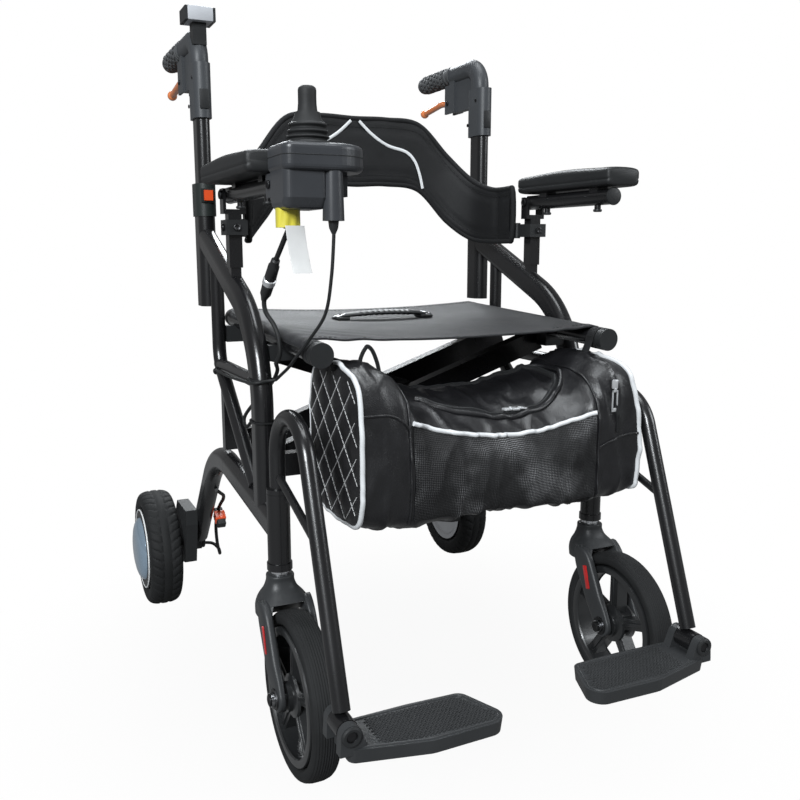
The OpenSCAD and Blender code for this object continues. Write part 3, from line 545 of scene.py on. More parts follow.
def hex_screw(bm, centre, axis, radius, depth):
    """A button head with a six-sided socket."""
    disc(bm, centre, axis, radius, depth, radius * 0.25)
    top = max((f for f in bm.faces if (f.calc_center_median() - (centre + Vector(axis) * depth)).length < 1e-5),
              key=lambda f: f.calc_area(), default=None)
    if top is not None:
        bmesh.ops.inset_region(bm, faces=[top], thickness=radius * 0.42)
        bmesh.ops.translate(bm, vec=Vector(axis) * -depth * 0.45, verts=top.verts)


def screw_set(name, body, rows):
    """Dark steel screws from rows of (place, axis, radius, depth), as one piece."""
    bm = bmesh.new()
    for row in rows:
        hex_screw(bm, *row)
    return from_bmesh(name, bm, "dark_steel", body, "steel")


def cord_mesh(name, routes, diameter, sides=3, cyclic=False):
    """Round cords through each route, as one mesh."""
    curve = bpy.data.curves.new(name, "CURVE")
    curve.dimensions = "3D"
    curve.bevel_depth = diameter / 2
    curve.bevel_resolution = sides
    curve.use_fill_caps = True
    curve.resolution_u = 6
    for route in routes:
        spline = curve.splines.new("BEZIER" if len(route) > 2 else "POLY")
        points = spline.bezier_points if len(route) > 2 else spline.points
        points.add(len(route) - 1)
        for point, place in zip(points, route):
            if len(route) > 2:
                point.co = place
                point.handle_left_type = point.handle_right_type = "AUTO"
            else:
                point.co = (*place, 1)
        spline.use_cyclic_u = cyclic
    maker = bpy.data.objects.new(name, curve)
    mesh = bpy.data.meshes.new_from_object(maker)
    bpy.data.objects.remove(maker)
    bpy.data.curves.remove(curve)
    mesh.name = name
    mesh.materials.clear()
    return mesh


def cord_piece(name, routes, diameter, finish, body, slot, sides=3, cyclic=False):
    return finish_piece(name, cord_mesh(name, routes, diameter, sides, cyclic), finish, body, slot)


def spun_piece(name, profile, centre, axis, steps, finish, body, slot, angle=40):
    bm = bmesh.new()
    spun(bm, profile, centre, axis, steps)
    return from_bmesh(name, bm, finish, body, slot, angle)


def loft_piece(name, runs, rounds, place, finish, body, slot, angle=60, mapped=None, closed=True, capped=True):
    """A piece that is one loft; mapped gives the axes and scale of its flat map."""
    bm = bmesh.new()
    uv = loft(bm, runs, rounds, place, closed, capped)
    if mapped:
        map_flat(bm, uv, *mapped)
    return from_bmesh(name, bm, finish, body, slot, angle)


def dashes(route, length, gap):
    """Short straight stitches along a route."""
    made, carried, inked = [], 0.0, True
    start = Vector(route[0])
    for a, b in zip(route, route[1:]):
        a, b = Vector(a), Vector(b)
        way = b - a
        left = way.length
        if left < 1e-9:
            continue
        way.normalize()
        place = a
        while left > 1e-9:
            need = (length if inked else gap) - carried
            step = min(need, left)
            place = place + way * step
            left -= step
            carried += step
            if carried >= (length if inked else gap) - 1e-9:
                if inked:
                    made.append((start, place.copy()))
                start = place.copy()
                inked = not inked
                carried = 0.0
    return made


def blends(points, u):
    """A smooth place along a list of points, u from 0 to 1."""
    share = min(max(u, 0.0), 1.0) * (len(points) - 1)
    i = min(int(share), len(points) - 2)
    t = share - i
    a, b, c, d = (points[max(i - 1, 0)], points[i], points[i + 1], points[min(i + 2, len(points) - 1)])
    return 0.5 * (2 * b + (c - a) * t + (2 * a - 5 * b + 4 * c - d) * t * t + (3 * b - a - 3 * c + d) * t * t * t)


def halve(low, high, steps, below):
    """Closes in on the place where below(place) stops being true."""
    for _ in range(steps):
        middle = (low + high) / 2
        if below(middle):
            low = middle
        else:
            high = middle
    return (low + high) / 2


def hull_reach(circles, turn):
    """The farthest of (reach, x, y, radius) of a hull of circles towards an angle, and the way there."""
    way = Vector((math.cos(turn), math.sin(turn)))
    return max((way.x * x + way.y * y + r, x, y, r) for x, y, r in circles), way


def move_new(bm, before, matrix):
    """Moves what was added to a mesh since before."""
    bmesh.ops.transform(bm, matrix=matrix, verts=[v for v in bm.verts if v not in before])


def ruffle(place, size, amount):
    """Soft unevenness from a fixed noise."""
    return noise.noise(place * size) * amount


# Shapes shared by several pieces

RAIL_TILT = math.radians(2.3)
RAIL_START = 520 - 230 * math.tan(RAIL_TILT)
BAG_ENDS, BAG_DEEP = (-180, 212), (-50, 116)
BAG_FRONT = ((-180, 494), (-152, 497), (-134, 495), (-122, 484), (-114, 462), (-106, 444), (-90, 430),
             (-50, 418), (0, 409), (50, 406), (100, 412), (126, 428), (148, 462), (170, 488), (190, 494), (212, 490))
BAG_BACK = ((-180, 494), (-152, 497), (-134, 494), (-120, 484), (-110, 470), (-94, 462), (-44, 452),
            (32, 454), (80, 464), (129, 477), (160, 489), (190, 494), (212, 490))
BAG_FLOOR = ((-180, 312), (-162, 305), (-117, 298), (7, 309), (161, 299), (212, 312))
BAG_LEAN = ((290, 9), (380, 8), (440, -1), (480, -10), (500, -16))


def on_rail(x, along, up):
    """A place given across the seat, along the tilted rails and up from their middle line, in millimetres."""
    return at(x, along * math.cos(RAIL_TILT) - up * math.sin(RAIL_TILT),
              RAIL_START + along * math.sin(RAIL_TILT) + up * math.cos(RAIL_TILT))


def ease(low, high, value):
    share = min(max((value - low) / (high - low), 0.0), 1.0)
    return share * share * (3 - 2 * share)


def on_square(t):
    """A place on the rim of a square, from the lower front corner up the front, over the top and down the back."""
    side, share = int(t * 4) % 4, (t * 4) % 1.0 * 2 - 1
    return [(-1, share), (share, 1), (1, -share), (-share, -1)][side]


def rounded(p, q, power):
    """Draws a place on a square's rim in to a round-cornered one."""
    k = (abs(p) ** power + abs(q) ** power) ** (-1 / power)
    return p * k, q * k


def graph(marks, x):
    """A softened line through (place, value) marks."""
    def line(at_x):
        for (x0, v0), (x1, v1) in zip(marks, marks[1:]):
            if at_x <= x1:
                return v0 + (v1 - v0) * max(at_x - x0, 0) / (x1 - x0)
        return marks[-1][1]
    return sum(line(x + step) for step in (-12, -6, 0, 6, 12)) / 5


def bag_x(u, z):
    """Across the bag in millimetres: its right end leans in towards the top."""
    return BAG_ENDS[0] + (BAG_ENDS[1] - BAG_ENDS[0]) * u + ease(0.78, 1, u) * graph(BAG_LEAN, z)


def bag_at(u, p, q, lift=0.0):
    """A place on the bag: u from its left end to its right, p and q over its round-cornered section."""
    x = BAG_ENDS[0] + (BAG_ENDS[1] - BAG_ENDS[0]) * u
    waist = ease(0.15, 0.27, u) * (1 - ease(0.72, 0.86, u))
    back = (p + 1) / 2
    roof = graph(BAG_FRONT, x) * (1 - back) + graph(BAG_BACK, x) * back + 11 * waist * (1 - p * p)
    floor = graph(BAG_FLOOR, x)
    z = floor + (roof - floor) * (q + 1) / 2
    slump = (1 - q * q) * (p < 0) * (5 * waist + 2)
    y = sum(BAG_DEEP) / 2 + p * ((BAG_DEEP[1] - BAG_DEEP[0]) / 2 + 3 * waist) - slump
    place = at(bag_x(u, z), y, z)
    drape = Vector((place.x * 34, place.y * 20, place.z * 13 + place.x * 9))
    crease = (1 - abs(noise.noise(drape))) ** 5 * 0.0042
    fold = ruffle(place, 21.0, 0.0042) + ruffle(place + Vector((3, 1, 2)), 58.0, 0.0013) + crease - 0.002
    out = Vector((0, p, q))
    if out.length > 1e-6:
        place = place + out.normalized() * (fold + lift)
    return place


def bag_corner(p, q):
    return rounded(p, q, 7.0 if q < 0 else 3.8)


def bag_rim(u, t, lift=0.0):
    return bag_at(u, *bag_corner(*on_square(t)), lift)


def bag_front(u, height):
    """How far up the bag's front a height in millimetres lies, as a place on its rim."""
    return halve(0.01, 0.249, 20, lambda t: bag_rim(u, t).z * 1000 < height)


BAND_PLAN = [Vector((x, y)) for x, y in (
    (213.5, 264.3), (204, 310), (188, 352), (158, 380), (112, 394), (55, 399), (0, 400))]
BAND_PLAN = [Vector((-p.x, p.y)) for p in BAND_PLAN] + BAND_PLAN[-2::-1]
BAND_TOP = [726, 726, 744, 782, 831, 837, 836, 837, 831, 782, 744, 726, 726]
BAND_FOOT = [644, 644, 650, 678, 728, 736, 734, 736, 728, 678, 650, 644, 644]


def band_at(u, height, lift=0.0):
    """A place on the back band: u along its length, height from its lower edge to its upper, lift to its front."""
    place = blends(BAND_PLAN, u)
    ahead = blends(BAND_PLAN, min(u + 0.004, 1.0)) - blends(BAND_PLAN, max(u - 0.004, 0.0))
    ahead.normalize()
    front = Vector((ahead.y, -ahead.x))
    low, high = blends(BAND_FOOT, u), blends(BAND_TOP, u)
    spot = place + front * lift
    return at(spot.x, spot.y, low + (high - low) * height)


def ribbon(bm, spots, width, thick):
    """A flat strip along a list of (place, sideways, outwards) with a rounded back."""
    count = len(spots) - 1

    def place(u, v):
        i = min(int(u * count + 0.5), count)
        spot, side, out = spots[i]
        turn = v * math.tau
        return spot + side * (math.cos(turn) * width / 2) + out * (math.sin(turn) * thick / 2)
    return loft(bm, count, 8, place)


# Operators, one for each piece or group of like pieces


class Dresser:
    """What the operators share."""

    bl_options = {"REGISTER", "UNDO"}

    @property
    def sizes(self):
        return bpy.context.scene.chair_sizes

    def lead_piece(self, name, marks, diameter, body=None):
        """A lead on one smooth curve through marks in millimetres; gives the piece and its path."""
        marks = [at(*m) for m in marks]
        path = [blends(marks, i / 39) for i in range(40)]
        return cord_piece(name, [path], diameter, "lead_rubber", body, "cable"), path

    def as_cord(self, piece, path, diameter, lay="hanging", pieces=()):
        length = sum((b - a).length for a, b in zip(path, path[1:]))
        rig.cord(piece, path[0], length, diameter, "object", "medium", lay, path=path, with_pieces=pieces)


class CHAIR_OT_finishes(Dresser, bpy.types.Operator):
    """Makes the finishes and paints the frame's nodes with them"""

    bl_idname = "chair.finishes"
    bl_label = "Finishes"

    def execute(self, context):
        hues = context.scene.chair_colours
        coat, plastic, soft = tuple(hues.coat), tuple(hues.plastic), tuple(hues.rubber)
        powder_coat("coat", coat)
        moulded("black_plastic", shade(plastic, 0.75))
        moulded("grey_plastic", shade(plastic, 1.35), 0.42)
        moulded("housing_plastic", (0.043, 0.046, 0.05), 0.4, 1100.0)
        moulded("case_plastic", (0.036, 0.038, 0.042), 0.3, 1300.0, 0.03)
        moulded("tread_plastic", shade(plastic, 0.95), 0.72)
        moulded("collar_plastic", (0.016, 0.02, 0.019), 0.4)
        rubber("grip_rubber", shade(soft, 4.0))
        rubber("boot_rubber", soft, 0.6)
        rubber("lead_rubber", shade(soft, 0.8), 0.5)
        tyre("tyre", shade(soft, 0.55))
        gloss("rim_plastic", shade(plastic, 0.7), 0.3)
        gloss("lever_orange", tuple(hues.lever), 0.3)
        gloss("signal_orange", tuple(hues.signal))
        gloss("reflector_red", (0.45, 0.012, 0.012), 0.12)
        bright_metal("hub_blue", (0.4, 0.52, 0.64), 0.05, 0.0, 0.72)
        bright_metal("chrome", (0.68, 0.69, 0.71), 0.1)
        bright_metal("satin_metal", (0.5, 0.51, 0.53), 0.28, 0.05)
        bright_metal("pull_metal", (0.62, 0.63, 0.64), 0.3, 0.0, 0.6)
        bright_metal("dark_steel", (0.05, 0.05, 0.052), 0.35)
        woven("seat_cloth", tuple(hues.cloth), 4200.0, 0.04, 0.6)
        woven("band_cloth", shade(hues.cloth, 0.5), 5200.0, 0.02, 0.6)
        woven("webbing", shade(hues.cloth, 0.5), 3000.0, 0.03)
        moulded("pad_skin", shade(plastic, 0.72), 0.5, 1500.0, 0.1)
        leather("bag_leather", tuple(hues.leather))
        netting("bag_net", tuple(hues.leather))
        reflective("piping", tuple(hues.piping))
        reflective("stitch", (0.5, 0.5, 0.5))
        reflective("tag_white", (0.78, 0.78, 0.77))
        moulded("display_pale", (0.38, 0.39, 0.41), 0.35)
        gloss("wrap_yellow", (0.66, 0.58, 0.06), 0.35)
        painted = {
            "coat": "frame arm_post handle_post arm_tube footrest_hanger cross_brace_a cross_brace_b",
            "collar_plastic": "height_collar",
            "black_plastic": "rail_saddles band_clamp motor_bracket display_unit joystick_knob "
                             "rail_caps_a rail_caps_b seat_handle",
            "lead_rubber": "motor_lead joystick_leads",
            "tyre": "drive_tyre caster_tyre",
            "satin_metal": "drive_hub brace_pin",
            "grey_plastic": "caster_fork footplate",
            "chrome": "caster_hardware",
            "rim_plastic": "caster_rim",
            "housing_plastic": "handle_housing",
            "grip_rubber": "hand_grip",
            "lever_orange": "brake_lever",
            "signal_orange": "height_button",
            "pad_skin": "arm_pad",
            "case_plastic": "joystick_case",
            "dark_steel": "joystick_gimbal",
            "boot_rubber": "boot_lower boot_upper",
            "seat_cloth": "seat_sling",
            "band_cloth": "back_band",
            "bag_leather": "under_seat_bag",
        }
        finish_of = {kind: finish for finish, kinds in painted.items() for kind in kinds.split()}
        for name, node in frame["nodes"].items():
            kind = name.removesuffix("_left").removesuffix("_right")
            node.data.materials.clear()
            node.data.materials.append(FINISHES[finish_of[kind]])
        return {"FINISHED"}


class CHAIR_OT_seat(Dresser, bpy.types.Operator):
    """Sling seat stretched over its rails, with hems, creases and a ridged pull handle"""

    bl_idname = "chair.seat"
    bl_label = "Seat"

    def hang(self, piece):
        """Spans a piece between the two rails as they fold."""
        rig.blend(piece, "brace_a", "brace_b", start=at(190, 210, 520), end=at(-190, 210, 520))

    def cross(self, s):
        """Across and up from the rails, s in millimetres from the middle of the cloth."""
        flat, radius = 205.0, 14.4
        side = 1 if s > 0 else -1
        over = abs(s) - flat
        if over <= 0:
            return s, radius - self.sizes.seat_sag * 1000 * (1 - (s / flat) ** 2)
        turn = over / radius
        return side * (flat + radius * math.sin(turn)), radius * math.cos(turn)

    def execute(self, context):
        half, front, back = 224.0, 34.0, 386.0

        def place(u, v):
            s, along = (u * 2 - 1) * half, front + (back - front) * v
            x, up = self.cross(s)
            hem = 0.5 * (1 - ease(16, 19, min(along - front, back - along)))
            corner = math.exp(-((s + 165) / 55) ** 2 - ((along - front - 30) / 60) ** 2)
            far = math.exp(-((s - 170) / 45) ** 2 - ((along - front - 20) / 45) ** 2)
            crease = 1.1 * corner * math.sin((s * 0.75 + along) * 0.16) + 0.7 * far * math.sin((s - along) * 0.17)
            sway = 1.2 * math.sin(along * 0.016 + 0.6) * (1 - min(abs(s) / 205, 1.0) ** 2)
            return on_rail(x, along + 1.2 * math.sin(s * 0.03) * (1 - v), up + hem + crease + sway)

        cloth = loft_piece("seat_cloth_piece", 96, 80, place, "seat_cloth", None, "seat_fabric", mapped=(0, 1),
                           closed=False, capped=False)
        wall = cloth.modifiers.new("thickness", "SOLIDIFY")
        wall.thickness, wall.offset = 0.0024, 0.0
        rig.replaces(cloth, "seat_sling")
        self.hang(cloth)
        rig.sheet(cloth, flat=(2 * half / 1000, (back - front) / 1000), held="stretched",
                 rests_on=["cross_brace_a", "cross_brace_b"])

        routes = []
        for along in (front + 15, back - 15):
            line = []
            for i in range(61):
                x, up = self.cross(-205 + 410 * i / 60)
                line.append(on_rail(x, along, up + 1.9))
            routes += dashes(line, 0.004, 0.0025)
        self.hang(cord_piece("seat_stitching", routes, 0.0008, "webbing", None, "seat_fabric", 0))

        # Ridged handle with a bright ring at each end
        bm = bmesh.new()
        seat_top = 14.4 - 8 + 1.5
        length, middle, along = 136.0, -12.0, 262.0

        def arch(u):
            return seat_top + 4.5 + 4.5 * max(math.sin(math.pi * u), 0) ** 0.6

        def strap(u, v):
            turn = v * math.tau
            ridge = 1.0 + 0.2 * math.sin(u * 96.0) * ease(0.14, 0.22, u) * (1 - ease(0.78, 0.86, u))
            wide = 13.0 * (0.72 + 0.28 * math.sin(math.pi * u))
            return on_rail(middle + (u - 0.5) * length, along + wide * math.cos(turn) * 0.95,
                           arch(u) + 3.6 * ridge * math.sin(turn))
        loft(bm, 110, 16, strap)
        for side in (-1, 1):
            slab(bm, on_rail(middle + side * 68 - 10, along - 13, seat_top + 0.5),
                 on_rail(middle + side * 68 + 10, along + 13, seat_top + 3.4), 0.0012)
        pull = from_bmesh("seat_pull", bm, "black_plastic", None, "plastic_black", 50)
        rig.replaces(pull, "seat_handle")
        bm = bmesh.new()
        for side in (-1, 1):
            spun(bm, [(1.3 * math.cos(a) / 1000, (9.5 + 1.3 * math.sin(a)) / 1000) for a in
                      (i * math.tau / 10 for i in range(10))],
                 on_rail(middle + side * 70, along, seat_top + 5.6), (side * 0.25, 0.1, 1), 32)
        rings = from_bmesh("seat_pull_rings", bm, "chrome", None, "steel")
        for piece in (pull, rings):
            self.hang(piece)
        return {"FINISHED"}


class CHAIR_OT_band(Dresser, bpy.types.Operator):
    """Padded back band with bound edges, sewn lines and reflective stripes"""

    bl_idname = "chair.band"
    bl_label = "Back band"

    def execute(self, context):
        fill = self.sizes.band_fill * 1000

        def place(u, v):
            p, q = rounded(*on_square(v), 3.2)
            crown = 1.0 - 0.12 * q * q
            pulled = 1 - 0.45 * (math.exp(-((u - 0.055) / 0.012) ** 2) + math.exp(-((u - 0.945) / 0.012) ** 2))
            dent = 1 - 0.32 * math.exp(-((abs(q) - 0.72) / 0.06) ** 2)
            spot = band_at(u, 0.5 + 0.5 * q * 0.985, -p * fill / 2 * crown * pulled * dent)
            return spot + Vector((0, ruffle(spot, 30.0, 0.0011), ruffle(spot, 22.0, 0.0008)))

        band = loft_piece("back_pad", 150, 40, place, "band_cloth", "frame_left", "band_fabric", mapped=(0, 2))
        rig.replaces(band, "back_band")
        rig.padded(band, 0.7)
        steps = [i / 90 for i in range(91)]
        edge = [band_at(u, 1.0) for u in steps] + [band_at(u, 0.0) for u in reversed(steps)]
        binding = cord_piece("back_binding", [edge], 0.0085, "webbing", "frame_left", "band_fabric", cyclic=True)
        routes = []
        for height in (0.13, 0.87):
            routes += dashes([band_at(u, height, fill / 2 - 1.2) for u in steps], 0.004, 0.003)
        for u in (0.055, 0.945):
            routes += dashes([band_at(u, h / 20, fill / 2 - 2.2) for h in range(1, 20)], 0.004, 0.003)
        sewn = cord_piece("back_stitching", routes, 0.0009, "webbing", "frame_left", "band_fabric", 0)
        bm = bmesh.new()
        for side in (-1, 1):
            marks = [Vector(m) for m in ((7, 832), (30, 812), (58, 796), (88, 788), (104, 774), (113, 752), (118, 730))]
            spots = []
            for i in range(37):
                mark = blends(marks, i / 36)
                ahead = (blends(marks, i / 36 + 0.01) - blends(marks, i / 36 - 0.01)).normalized()
                share = self.share_at(side * mark.x)
                low, high = blends(BAND_FOOT, share), blends(BAND_TOP, share)
                spot = band_at(share, (mark.y - low) / (high - low), fill / 2 + 0.1)
                spots.append((spot, Vector((-side * ahead.y, 0, ahead.x)).normalized(), Vector((0, -1, 0))))
            ribbon(bm, spots, 0.0048, 0.0016)
        stripes = from_bmesh("back_stripes", bm, "piping", "frame_left", "band_fabric")
        for piece in (band, binding, sewn, stripes):
            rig.squash(piece, "fold", axis=(1, 0, 0), anchor=at(-213, 264, 690), keep=0.806)
        return {"FINISHED"}

    def share_at(self, x):
        """How far along the band a place across it lies."""
        return halve(0.0, 1.0, 24, lambda share: blends(BAND_PLAN, share).x < x)


class CHAIR_OT_bag(Dresser, bpy.types.Operator):
    """Bag under the seat: sagging leather shell, net front, quilted ends, piping, zips and straps"""

    bl_idname = "chair.bag"
    bl_label = "Bag"

    NET = (0.172, 0.835)

    def execute(self, context):
        self.made = []
        self.shell()
        self.ends()
        self.trim()
        self.zips()
        self.straps()
        for piece in self.made:
            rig.squash(piece, "fold", axis=(1, 0, 0), anchor=at(0, 33, 390), keep=0.8)
        return {"FINISHED"}

    def keep(self, piece):
        self.made.append(piece)
        return piece

    def cords(self, name, routes, diameter, finish, slot="bag_leather", sides=3, cyclic=False):
        return self.keep(cord_piece(name, routes, diameter, finish, "bag", slot, sides, cyclic))

    def shell(self):
        shell = self.keep(loft_piece("bag_shell", 120, 96, bag_rim, "bag_leather", "bag", "bag_leather"))
        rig.replaces(shell, "under_seat_bag")

        def net(u, v):
            share = self.NET[0] + (self.NET[1] - self.NET[0]) * u
            return bag_rim(share, 0.02 + (bag_front(share, self.hem(share)) - 0.02) * v, 0.0012)
        self.keep(loft_piece("bag_front_net", 90, 40, net, "bag_net", "bag", "bag_leather", mapped=(0, 2, 1000.0),
                             closed=False, capped=False))

    def hem(self, u):
        """Height of the net's sagging upper edge, in millimetres."""
        return 405 + 24 * ((u - 0.53) / 0.34) ** 2

    def end_spot(self, side, a, b):
        """A place on an end panel, from a square's own two ways."""
        reach = max(abs(a), abs(b))
        p, q = bag_corner(a / reach, b / reach) if reach > 1e-6 else (0, 0)
        u = 0.0 if side < 0 else 1.0
        spot = bag_at(u, p, q) * reach + bag_at(u, 0, 0) * (1 - reach)
        spot.x = bag_x(u, spot.z * 1000) / 1000
        return spot

    def ends(self):
        step = self.sizes.quilt_step
        for side, name in SIDES:

            def place(u, v):
                flat = self.end_spot(side, u * 2 - 1, v * 2 - 1)
                one, two = (flat.y + flat.z) / step, (flat.y - flat.z) / step
                puff = (abs(math.sin(math.pi * one)) * abs(math.sin(math.pi * two))) ** 0.6
                rim = 1 - max(abs(u * 2 - 1), abs(v * 2 - 1)) ** 8
                return flat + Vector((side * (0.0006 + (0.003 * puff + 0.0014) * rim), 0, 0))
            self.keep(loft_piece("bag_quilt_" + name, 150, 150, place, "bag_leather", "bag", "bag_leather", 80,
                                 closed=False, capped=False))
            rim = [self.end_spot(side, *on_square(i / 120)) for i in range(120)]
            middle = sum(rim, Vector()) / len(rim)
            routes = []
            for lean in (-1, 1):
                marks = [(c.y + lean * c.z) / step for c in rim]
                for line in range(math.ceil(min(marks)), math.floor(max(marks)) + 1):
                    inside = []
                    for i in range(161):
                        z = 0.29 + 0.22 * i / 160
                        x = bag_x(0 if side < 0 else 1, z * 1000) / 1000 + side * 0.0026
                        spot = Vector((x, line * step - lean * z, z))
                        if self.within(spot, middle, rim):
                            inside.append(spot)
                    if len(inside) > 3:
                        routes += dashes(inside, 0.0052, 0.0013)
            self.cords("bag_stitching_" + name, routes, 0.0011, "stitch", sides=0)

    def within(self, spot, middle, rim):
        """Whether a place lies inside the rim of an end panel, a little drawn in."""
        crossed = False
        for a, b in zip(rim, rim[1:] + rim[:1]):
            a, b = a + (middle - a) * 0.05, b + (middle - b) * 0.05
            if (a.z > spot.z) != (b.z > spot.z) and spot.y < a.y + (b.y - a.y) * (spot.z - a.z) / (b.z - a.z):
                crossed = not crossed
        return crossed

    def trim(self):
        thick = self.sizes.piping
        turns = [i / 96 for i in range(96)]
        for u, name in ((0.004, "left"), (0.996, "right")):
            self.cords("bag_piping_" + name, [[bag_rim(u, t, 0.0012) for t in turns]], thick, "piping", cyclic=True)
        shares = [self.NET[0] + (self.NET[1] - self.NET[0]) * i / 60 for i in range(61)]
        top = [bag_rim(u, bag_front(u, self.hem(u)), 0.0022) for u in shares]
        self.cords("bag_piping_front", [top], thick * 0.95, "piping")
        seams = [[bag_rim(u, 0.01 + 0.72 * i / 70, 0.0008) for i in range(71)] for u in (0.16, 0.845)]
        seams.append([bag_rim(u / 40 * 0.16, 0.185, 0.0004) for u in range(1, 40)])
        seams.append([bag_rim(0.845 + 0.15 * u / 40, 0.115, 0.0004) for u in range(1, 40)])
        self.cords("bag_seams", seams, 0.0032, "bag_leather")

    def zips(self):
        marks = [Vector(m) for m in (
            (0.27, 0.35), (0.36, 0.325), (0.47, 0.312), (0.58, 0.307), (0.7, 0.318), (0.79, 0.35), (0.805, 0.4),
            (0.77, 0.44), (0.66, 0.456), (0.5, 0.466), (0.34, 0.475))]
        path = [blends(marks, i / 90) for i in range(91)]
        self.cords("bag_zip_tape", [[bag_rim(m.x, m.y, 0.0006) for m in path]], 0.0075, "webbing")
        self.cords("bag_zip_coil", [[bag_rim(m.x, m.y, 0.004) for m in path]], 0.0028, "black_plastic")
        centre = Vector((0.5, 0.4))
        ridge = [centre + (m - centre) * 1.07 for m in path]
        self.cords("bag_flap_roll", [[bag_rim(m.x, m.y, 0.001) for m in ridge]], 0.008, "bag_leather")
        upright = [bag_rim(0.915, 0.125 + 0.1 * i / 20, 0.0008) for i in range(21)]
        self.cords("bag_side_zip", [upright], 0.005, "webbing")
        bm = bmesh.new()
        for u, t, turn in ((0.55, 0.309, -0.35), (0.58, 0.308, -0.2)):
            spot = bag_rim(u, t, 0.006)
            self.pull(bm, spot, Matrix.Rotation(turn, 4, "Z") @ Matrix.Rotation(0.1, 4, "Y"), (1, 0, 0), (0, 0, 1))
        self.pull(bm, bag_rim(0.915, 0.212, 0.004), Matrix.Identity(4), (0, 0, -1), (0, -1, 0))
        self.keep(from_bmesh("bag_zip_pulls", bm, "pull_metal", "bag", "steel"))

    def pull(self, bm, spot, turn, way, out):
        """A slider with a long open puller."""
        way, out = Vector(way), Vector(out)
        side = way.cross(out)
        base = Matrix((way, side, out)).transposed().to_4x4()
        before = set(bm.verts)
        slab(bm, (-0.006, -0.0042, 0), (0.006, 0.0042, 0.0036), 0.0012)
        slab(bm, (0.005, -0.0012, 0.001), (0.009, 0.0012, 0.005), 0.0006)
        for edge in (-1, 1):
            slab(bm, (0.008, edge * 0.0036 - 0.001, 0.002), (0.034, edge * 0.0036 + 0.001, 0.0038), 0.0006)
        slab(bm, (0.031, -0.0046, 0.002), (0.036, 0.0046, 0.0038), 0.0008)
        slab(bm, (0.008, -0.0046, 0.002), (0.0105, 0.0046, 0.0038), 0.0006)
        move_new(bm, before, Matrix.Translation(spot) @ base @ turn)

    def straps(self):
        bm = bmesh.new()
        for side in (-1, 1):
            centre = on_rail(side * 205, 16, 0)
            way = (on_rail(side * 205, 32, 0) - centre).normalized()
            spun(bm, [(0, 0.0129), (0.0158, 0.0129), (0.0158, 0.0149), (0, 0.0149)], centre, way, 48)
            inner, outer = 190.0, 176.0

            def tail(u, v, side=side):
                turn = v * math.tau
                drop = 4 - 46 * u
                x = inner - (inner - outer) * ease(0, 1, u)
                return on_rail(side * (x + 1.0 * math.sin(turn)), 24 + 7.8 * math.cos(turn), drop)
            loft(bm, 16, 12, tail)
        self.keep(from_bmesh("bag_straps", bm, "webbing", "bag", "bag_leather", 50))
        loop = [bag_at(0.075 + 0.065 * i / 16, -0.15, 1.0, 0.001)
                + Vector((0, 0, 0.019 * math.sin(math.pi * i / 16) ** 0.7)) for i in range(17)]
        self.cords("bag_hand_loop", [loop], 0.005, "webbing")


class CHAIR_OT_arm_pads(Dresser, bpy.types.Operator):
    """Soft moulded arm pads with a rolled edge and a parting line"""

    bl_idname = "chair.arm_pads"
    bl_label = "Arm pads"

    def execute(self, context):
        for side, name in SIDES:
            low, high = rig.box("arm_pad_" + name)
            middle, half = (low + high) / 2, (high - low) / 2

            def place(u, v):
                p, q = rounded(*on_square(v), 6.0)
                along = u * 2 - 1
                taper = max(1 - abs(along) ** 26, 0.0) ** (1 / 2.6)
                nose = 1 - 0.05 * (1 - along) / 2
                wide = half.x * (nose - 0.22 + 0.22 * taper)
                tall = half.z * (0.72 + 0.28 * taper)
                crown = 0.0 if q < 0 else -0.0016 * p * p
                groove = -0.0011 * math.exp(-((q + 0.38) / 0.07) ** 2)
                dip = 0.0016 * math.cos(along * math.pi) * max(q, 0) - 0.0016 * max(q, 0)
                return Vector((middle.x + p * (wide + groove), middle.y + half.y * along,
                               middle.z + q * tall + crown + dip))
            pad = loft_piece("arm_cushion_" + name, 160, 64, place, "pad_skin", "armrest_" + name, "pad_vinyl", 50,
                             (0, 1))
            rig.replaces(pad, "arm_pad_" + name)
            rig.padded(pad, 0.9)
            bm = bmesh.new()
            for y in (82, 205):
                hex_screw(bm, at(side * FRAME_X, y, 687), (0, 0, -1), 0.0062, 0.004)
            if side > 0:
                disc(bm, at(side * FRAME_X, 50, 703), (0, -1, 0), 0.0122, 0.004, 0.0014, 32)
            disc(bm, at(side * FRAME_X, 258.6, 703), (0, 1, 0), 0.0112, 0.001, 0.0004, 32)
            from_bmesh("arm_fittings_" + name, bm, "black_plastic", "armrest_" + name, "plastic_black")
            bolts = [(at(side * FRAME_X + edge * 15.4, 245, 703), (edge, 0, 0), 0.0062, 0.0035) for edge in (-1, 1)]
            bolts += [(at(side * FRAME_X + side * 14, 243, 660), (side, 0, 0), 0.005, 0.003),
                      (at(side * FRAME_X, 228, 660), (0, -1, 0), 0.005, 0.003)]
            screw_set("arm_post_bolts_" + name, "frame_" + name, bolts)
        return {"FINISHED"}


